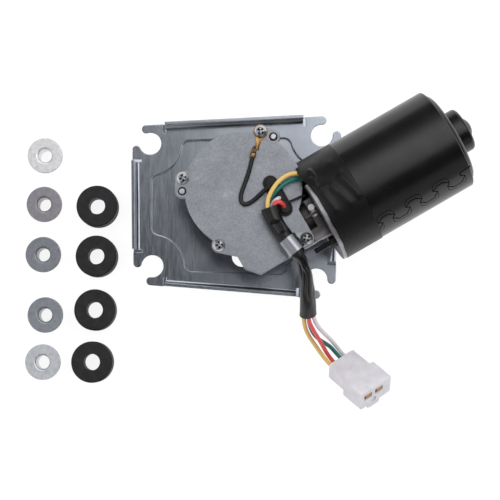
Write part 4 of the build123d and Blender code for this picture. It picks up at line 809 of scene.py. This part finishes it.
def connector():
    """The moulded housing with its stepped front, key socket and latch, and its terminals."""
    axis = Vector(PLUG_AXIS).normalized()
    side = Vector(PLUG_ACROSS)
    side = (side - axis * side.dot(axis)).normalized()
    up = axis.cross(side)
    up = up if up.z > 0 else -up
    rear = Vector(PLUG_AT) * MM - axis * (PLUG_LENGTH * MM) / 2
    front = PLUG_LENGTH
    step = front - PLUG_FRONT_LENGTH

    def place(across, high, along):
        """A point by where it lies across, up and along the housing, in millimetres."""
        return rear + side * (across * MM) + up * (high * MM) + axis * (along * MM)

    def bar(across, high, size, corner, rings):
        """Frames along the housing: each ring has its place and how much slimmer it is."""
        return [rounded_frame(place(across, high, along), side, up, (size[0] - slim) * MM,
                              (size[1] - slim) * MM, corner * MM) for along, slim in rings]

    # The front stands out from the rear in a step, and every end is chamfered
    rows = bar(0, 0, PLUG_REAR, PLUG_CORNER,
               ((0, 1.0), (0.15, 0.3), (0.5, 0), (step - 0.5, 0), (step - 0.1, -0.3)))
    rows += bar(0, 0, PLUG_FRONT, PLUG_CORNER, (
        (step, 1.2), (step + 0.15, 0.3), (step + 0.6, 0), (front - 0.5, 0), (front - 0.15, 0.3),
        (front, 1.0),
    ))
    housing = new_piece("moulded_connector", "natural_nylon", "connector_housing")
    fill_mesh(housing, [(rows, True)])
    latch = bar(*LATCH_AT, LATCH_SIZE, 0.9,
                ((front - 9, 0.6), (front - 8.4, 0), (front - 1.1, 0), (front - 0.5, 0.8)))
    key = [ring_of(place(*KEY_AT, along), side, up, KEY_R * MM, KEY_R * MM, 32)
           for along in (front - 1.2, front + 1)]
    cavity = ((front - 9, 0), (front + 1, 0))
    openings = [(bar(across, PLUG_WAY_RISE, PLUG_OPENING, 0.4, cavity), "DIFFERENCE")
                for across in PLUG_WAYS]
    carve(housing, [(latch, "UNION"), (key, "DIFFERENCE")] + openings)

    # Each terminal is a box in two parts. The smaller one is its mouth, which lies to the left
    # and deeper, where it is darker: the shift and share are of the opening's width
    skins = []
    wide, tall = PLUG_OPENING
    for across in PLUG_WAYS:
        for shift, share, depth in ((0.14, 0.7, 0.5), (-0.36, 0.26, 2.6)):
            rings = ((front - 8.5, 0), (front - depth - 0.2, 0), (front - depth, 0.3))
            size = (wide * share, tall - 0.2)
            skins.append((bar(across + shift * wide, PLUG_WAY_RISE, size, 0.2, rings), True))
    terminals = new_piece("box_terminals", "contact_brass", "connector_blades")
    fill_mesh(terminals, skins, 40)
    return [housing, terminals]


def bend_corners():
    """Stretched metal at the ends of the plate's folds, level with its rim."""
    skins = []
    sink = 0.02
    bottom = sink - PLATE_T
    for start, end, start_gap, end_gap in PLATE_FOLDS:
        start, end = Vector((*start, 0)) * MM, Vector((*end, 0)) * MM
        run = (end - start).normalized()
        outward = Vector((run.y, -run.x, 0))
        outward = outward if outward.dot(start) > 0 else -outward
        for tip, gap, way in ((start, start_gap, run), (end, end_gap, -run)):
            fold_end = tip + outward * (FINGER_R * MM) + way * gap * MM
            # Each rises from the rim, over the relief cut, to the fold's end
            rows = []
            for at, rise in ((-RELIEF - 0.3, 0.0), (-RELIEF / 2, 0.1), (0.3, 0.5)):
                centre = fold_end + (way * at - outward * 2.8) * MM + Z * RIM_TOP
                rows.append([centre + (outward * across + Z * height) * MM for across, height in
                             ((-3.0, bottom), (2.6, bottom), (2.6, rise - sink), (-3.0, -sink))])
            skins.append((rows, True))
    fill_mesh(new_piece("bend_corners", "zinc_steel"), skins, 40)


def neck_pad():
    """The flat face of the neck between the motor flange and the end of its channel."""
    rows = []
    for height, inset in ((-12.0, 0.0), (-0.35, 0.0), (-0.02, 0.3)):
        row = []
        for place in NECK_PAD:
            corner = Vector(place)
            corner -= Vector([copysign(inset, value) for value in corner - NECK_PAD_MIDDLE])
            row.append(ALONG * corner.x * MM + ACROSS * (MOTOR_OFFSET + corner.y * MM)
                       + Z * (COVER_TOP + height * MM))
        rows.append(row)
    fill_mesh(new_piece("neck_pad", "cast_aluminium"), [(rows, True)], 30)


def neck_plugs():
    """The pale plug, whose white is a painted highlight, and the sunk disc on the boss beside the
    motor flange.
    """
    # Each: its name, its slot, how far across the motor it lies, and its (radius, height) steps
    for name, slot, across, steps in (
        # The pale plug's white nylon paints a highlight on the boss
        ("painted_highlight_plug", "natural_nylon", -3.8,
         ((1.95, -0.3), (1.95, 0.25), (1.8, 0.42), (1.5, 0.5), (0.02, 0.52))),
        ("sunk_disc", "screw_steel", 0.2,
         ((2.0, -0.3), (2.0, 0.2), (1.85, 0.32), (1.65, 0.32), (1.55, 0.08), (0.02, 0.05))),
    ):
        centre = ALONG * 28.5 * MM + ACROSS * (MOTOR_OFFSET + across * MM) + Z * COVER_TOP
        fill_mesh(new_piece(name, slot), [(turned(centre, steps, 48), True)], 40)


def wires():
    """The connector, then each insulated wire but the braided lead as a smooth cord on its route.
    """
    plug = connector()
    for name, route in ROUTES.items():
        colour, kind = name.split("_")
        if name == "braided_lead":
            continue
        slot = "black_wire" if colour == "ground" else f"{colour}_wire"
        wire = route_curve(f"{colour}_wire_{kind}", route, WIRE_R)
        wire.data.materials.append(MATERIALS[slot])
        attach(wire, "root")
        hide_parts(name)


def braided_lead():
    """The thin braided lead: three strands twisted round each other."""
    points = route_points(ROUTES["braided_lead"])
    strand_r = 0.44 * MM
    twist_pitch = 3.4 * MM
    strands = []
    for strand in range(3):
        travelled = 0.0
        rows = []
        for i, (point, (side, up)) in enumerate(zip(points, frames_along(points))):
            travelled += (point - points[i - 1]).length if i else 0.0
            turn = 2 * pi * (travelled / twist_pitch + strand / 3)
            centre = point + (side * cos(turn) + up * sin(turn)) * (BRAID_R - strand_r)
            rows.append(ring_of(centre, side, up, strand_r, strand_r, 10))
        strands.append((rows, True))
    fill_mesh(new_piece("braided_lead_strands", "black_braid", "braided_lead"), strands)


def on_motor(along, angle, radius):
    """A point by its distance from the spindle, its angle from the top and its radius."""
    axis = ALONG * along + ACROSS * MOTOR_OFFSET + Z * MOTOR_HEIGHT
    return axis + (Z * cos(angle) + ACROSS * sin(angle)) * radius


# The tape's wrinkles, in millimetres: each runs from one (along, across) to another, with
# its half width and height
WRINKLES = [
    ((50.4, -9.4), (52.6, -2.7), 1.9, 0.8), ((52.6, -2.7), (54.0, 4.4), 1.6, 0.7),
    ((45.6, -1.4), (47.6, 5.6), 2.2, 0.5), ((37.6, -9.6), (43.6, -8.2), 1.6, 0.4),
    ((43.2, -8.0), (44.3, -3.6), 1.8, 0.5), ((37.3, -5.6), (38.6, 5.6), 1.7, 0.5),
    ((37.7, -21.2), (38.2, -17.2), 1.4, 1.0), ((36.2, -16.8), (36.6, -13.2), 1.3, 0.9),
    ((40.0, -16.0), (42.0, -24.0), 2.0, 0.3), ((50.0, -20.0), (52.5, -14.0), 2.0, 0.3),
]


def wrinkle_height(along, across):
    """How far the tape stands off the ring there, in millimetres."""
    here = Vector((along, across))
    height = -0.3 * bell(along, 55.8, 0.7) * bell(across, -0.5, 4.0)
    for start, end, width, rise in WRINKLES:
        start, end = Vector(start), Vector(end)
        run = end - start
        share = min(1.0, max(0.0, (here - start).dot(run) / run.length_squared))
        height = max(height, rise * bell((here - start - run * share).length, 0.0, width))
    return height


def seam_route():
    """The seam's line on the flux ring: (along, rise) points through rounded corners."""
    first = SEAM_START + SEAM_TURNS[-1][0] - SEAM_PERIOD
    corners = [(0.0, -SEAM_END_RISE, 0.0), (first, -SEAM_END_RISE, SEAM_END_RADIUS),
               (first, *SEAM_TURNS[0][1:])]
    for wave in range(SEAM_WAVES):
        corners += [(SEAM_START + wave * SEAM_PERIOD + along, rise, radius)
                    for along, rise, radius in SEAM_TURNS]
    last = SEAM_START + SEAM_WAVES * SEAM_PERIOD
    corners += [(last, *SEAM_TURNS[0][1:]), (last, SEAM_END_RISE, SEAM_END_RADIUS),
                (SEAM_END, SEAM_END_RISE, 0.0)]
    points = [Vector(corners[0][:2])]
    for before, (along, rise, radius), after in zip(corners, corners[1:], corners[2:]):
        corner = Vector((along, rise))
        back = (Vector(before[:2]) - corner).normalized()
        onward = (Vector(after[:2]) - corner).normalized()
        half = back.angle(onward) / 2
        centre = corner + (back + onward).normalized() * radius / sin(half)
        start = corner + back * radius / tan(half) - centre
        end = corner + onward * radius / tan(half) - centre
        points += [centre + start.slerp(end, step / 8) for step in range(9)]
    return points + [Vector(corners[-1][:2])]


def seam_painted_shade():
    """A ribbon of painted shade along the flux ring's interlocking seam, where its narrow gap lies
    in shade; it starts a millimetre under the tape."""
    # Painted shade: a matt finish, nearly black
    seam_shade_finish = finish_of("seam_painted_shade", "#030303", 0.9, IOR=1.15)[0]
    # Its section, in millimetres: how far across the seam, and how high over the ring
    section = ((-0.45, -0.2), (-0.3, 0.05), (0.3, 0.05), (0.45, -0.2))
    rows = []
    points = [point for point in seam_route() if point.x * MM > TAPE_END - RING_START - MM]
    for i, point in enumerate(points):
        run = (points[min(i + 1, len(points) - 1)] - points[max(i - 1, 0)]).normalized()
        normal = Vector((-run.y, run.x))
        row = []
        for across, lift in section:
            place = (point + normal * across) * MM
            row.append(on_motor(RING_START + place.x, SEAM_ANGLE - asin(place.y / RING_R),
                                RING_R + lift * MM))
        rows.append(row)
    piece = new_piece("seam_painted_shade", "black_paint")
    piece.data.materials[0] = seam_shade_finish
    fill_mesh(piece, [(rows, True)])


def tape_start(angle):
    """Where the tape starts round the flange: its torn end hangs over at the upper left."""
    torn = 2.6 * MM * bell(angle, 2 * pi - 0.8, 0.28)
    return TAPE_START - torn + 0.25 * MM * sin(13 * angle) * sin(5 * angle)


def wrinkled_tape():
    """The band of tape round the flange end of the motor, with its wrinkles."""
    around, steps = 256, 64
    outer = RING_R + TAPE_T
    rows = []
    for i in range(steps + 1):
        row = []
        for angle in turns(around):
            along = TAPE_END + (tape_start(angle) - TAPE_END) * (1 - i / steps)
            rise = 0.0
            if cos(angle) > 0:
                rise = wrinkle_height(along / MM, outer * sin(angle) / MM)
            ripple = 0.03 * sin(19 * angle + 0.21 * i) * sin(0.3 * i + 5 * angle)
            edge = 0.35 * MM * sin(7 * angle) * sin(11 * angle + 1) if i == steps else 0.0
            row.append(on_motor(along - abs(edge), angle, outer + (rise + ripple) * MM))
        rows.append(row)
    under = RING_R + TAPE_GAP
    inside = [[on_motor(TAPE_END, angle, under) for angle in turns(around)],
              [on_motor(tape_start(angle), angle, under) for angle in turns(around)]]
    piece = new_piece("wrinkled_tape", "black_tape", "tape_band")
    fill_mesh(piece, [(rows + inside + rows[:1], False)], 60)


def cross_depth(x, y):
    """The depth of a screw's cross recess at a place on its head, from 0 to 1."""
    depth = 0.0
    for along, across in ((x, y), (y, x)):
        taper = CROSS_ARM - 0.35 * MM
        flank = between(abs(across), [(0.4 * MM, 1), (0.58 * MM, 0)])
        end = between(abs(along), [(taper, 1), (CROSS_ARM, 0)])
        depth = max(depth, flank * end)
    return max(depth, between(hypot(x, y), [(0.6 * MM, 1), (0.95 * MM, 0)]))


def cover_screws():
    """Four pan-head screws with cross recesses, each turned its own way."""
    around, steps = 96, 30
    for name, place, seat, turn in SCREWS:
        base = Vector((*place, 0)) * MM + Z * (COVER_TOP + seat * MM)
        rows = [[base - Z * SCREW_LENGTH] * around]
        for radius, height in ((SCREW_R, -SCREW_LENGTH), (SCREW_R, 0.0), (HEAD_R, 0.0),
                               (HEAD_R, 0.25 * HEAD_T)):
            rows.append(ring_of(base + Z * height, X, Y, radius, radius, around))
        for step in range(steps + 1):
            radius = HEAD_R * cos(0.5 * pi * step / steps) ** 0.9
            dome = HEAD_T * (0.25 + 0.75 * (1 - (radius / HEAD_R) ** 2.6))
            row = []
            for angle in turns(around):
                x, y = radius * cos(angle - turn), radius * sin(angle - turn)
                height = dome - CROSS_DEPTH * cross_depth(x, y)
                row.append(base + Vector((radius * cos(angle), radius * sin(angle), height)))
            rows.append(row)
        piece = new_piece(name, "screw_steel")
        fill_mesh(piece, [(rows, False)], 40)
        if name == SCREWS[0][0]:
            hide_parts("cover_screws")


def threaded_spindle():
    """The output spindle with its thread, tapered seat, clip groove and shank."""
    around, steps = 64, 96
    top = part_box("output_spindle")[1].z
    rows = [[Vector((0, 0, 0))] * around]
    for step in range(steps + 1):
        height = THREAD_END * step / steps
        # The thread starts on a chamfer and runs out over its last pitch
        chamfer = (1 - between(height, [(0, 0.45), (0.6 * MM, 1)])) * 0.6 * MM
        runout = [(THREAD_END - THREAD_PITCH, THREAD_DEPTH), (THREAD_END, 0)]
        deep = between(height, runout)
        row = []
        for angle in turns(around):
            phase = (height / THREAD_PITCH - angle / (2 * pi)) % 1.0
            radius = THREAD_R - deep * (1 - abs(2 * phase - 1)) - chamfer
            row.append(Vector((radius * cos(angle), radius * sin(angle), height)))
        rows.append(row)
    # The seat widens to its foot at 11.8 mm, and the clip's groove follows
    foot_and_groove = ((5.0, 11.8), (5.0, 12.8), (4.2, 12.8), (4.2, 13.7), (5.0, 13.7))
    rows += turned(Vector((0, 0, 0)), foot_and_groove, around)
    rows += [ring_of(Z * top, X, Y, SHANK_R, SHANK_R, around), [Z * top] * around]
    piece = new_piece("threaded_spindle", "spindle_steel", "output_spindle", "output")
    fill_mesh(piece, [(rows, False)], 35)


def crimped_terminal():
    """The ring terminal: its eye under the screw, its neck, and two crimps round the wire."""
    eye = Vector((*SCREWS[0][1], 0)) * MM
    wire_end = Vector(ROUTES["ground_lead"][-1]) * MM
    run = (wire_end - Vector(ROUTES["ground_lead"][-2]) * MM).normalized()
    level_run = Vector((run.x, run.y, 0)).normalized()
    side = level_run.cross(Z)
    thick = 0.8 * MM
    washer = turned(eye + Z * COVER_TOP, (
        (2.2, 0), (4.0, 0), (4.0, 0.65), (3.85, 0.8), (2.35, 0.8), (2.2, 0.65), (2.2, 0),
    ), 64)
    # The neck narrows from the eye to the crimp and curls up at its sides
    neck = []
    start = eye - level_run * 3.3 * MM
    length = (wire_end - start).dot(level_run)
    for share, half, curl in ((0, 2.4, 0), (0.3, 1.5, 0.1), (0.6, 1.15, 0.5), (1, 1.25, 0.9)):
        middle = start + level_run * (length * share)
        middle.z = COVER_TOP
        face = [(across, curl * across**2 * MM) for across in (-1, -0.5, 0, 0.5, 1)]
        back = [(across, height + thick) for across, height in reversed(face)]
        neck.append([middle + side * (half * across * MM) + Z * height
                     for across, height in face + back])
    skins = [(washer, False), (neck, True)]
    # Wings: one pair bites the copper, one the insulation; each pair curls down to a middle line.
    # Each starts and ends some millimetres back from the wire's end and has its radius and dip
    for first, last, radius, dip in ((0.4, 2.2, 1.45, 0.5), (2.9, 5.0, 1.75, 0.25)):
        rows = []
        for at, swell in ((first, 0.94), (first + 0.3, 1.0), (last - 0.3, 1.0), (last, 0.94)):
            centre = wire_end - run * (at * MM)
            row = []
            for angle in turns(40):
                reach = radius * swell - dip * bell(angle, pi / 2, 0.3)
                out = side * cos(angle) + side.cross(run) * sin(angle)
                row.append(centre + out * (reach * MM))
            rows.append(row)
        skins.append((rows, True))
    fill_mesh(new_piece("crimped_terminal", "contact_brass", "ring_terminal"), skins, 40)
    strands = []
    for across, height in ((-0.55, 0.1), (0.0, 0.35), (0.55, 0.1), (-0.28, -0.3), (0.3, -0.3)):
        rows = []
        for at in (-1.5, 3.0):
            centre = wire_end - run * (at * MM) + side * (across * MM) + Z * (height * MM)
            rows.append(ring_of(centre, side, Z, 0.3 * MM, 0.3 * MM, 10))
        strands.append((rows, True))
    fill_mesh(new_piece("copper_strands", "copper"), strands)


def dress_frame():
    """The CAD nodes that show keep their shape and take their finish."""
    for part in frame["record"]["subparts"]:
        node = frame["nodes"][part["node"]]
        node.data.materials.clear()
        node.data.materials.append(MATERIALS[part["material_slot"]])


set_camera()
creased_sleeve()
wires()
braided_lead()
white_studio()
white_table()
for settings in LAMPS:
    lamp(*settings)
wrinkled_tape()
seam_painted_shade()
cover_screws()
threaded_spindle()
bend_corners()
neck_pad()
neck_plugs()
crimped_terminal()
dress_frame()
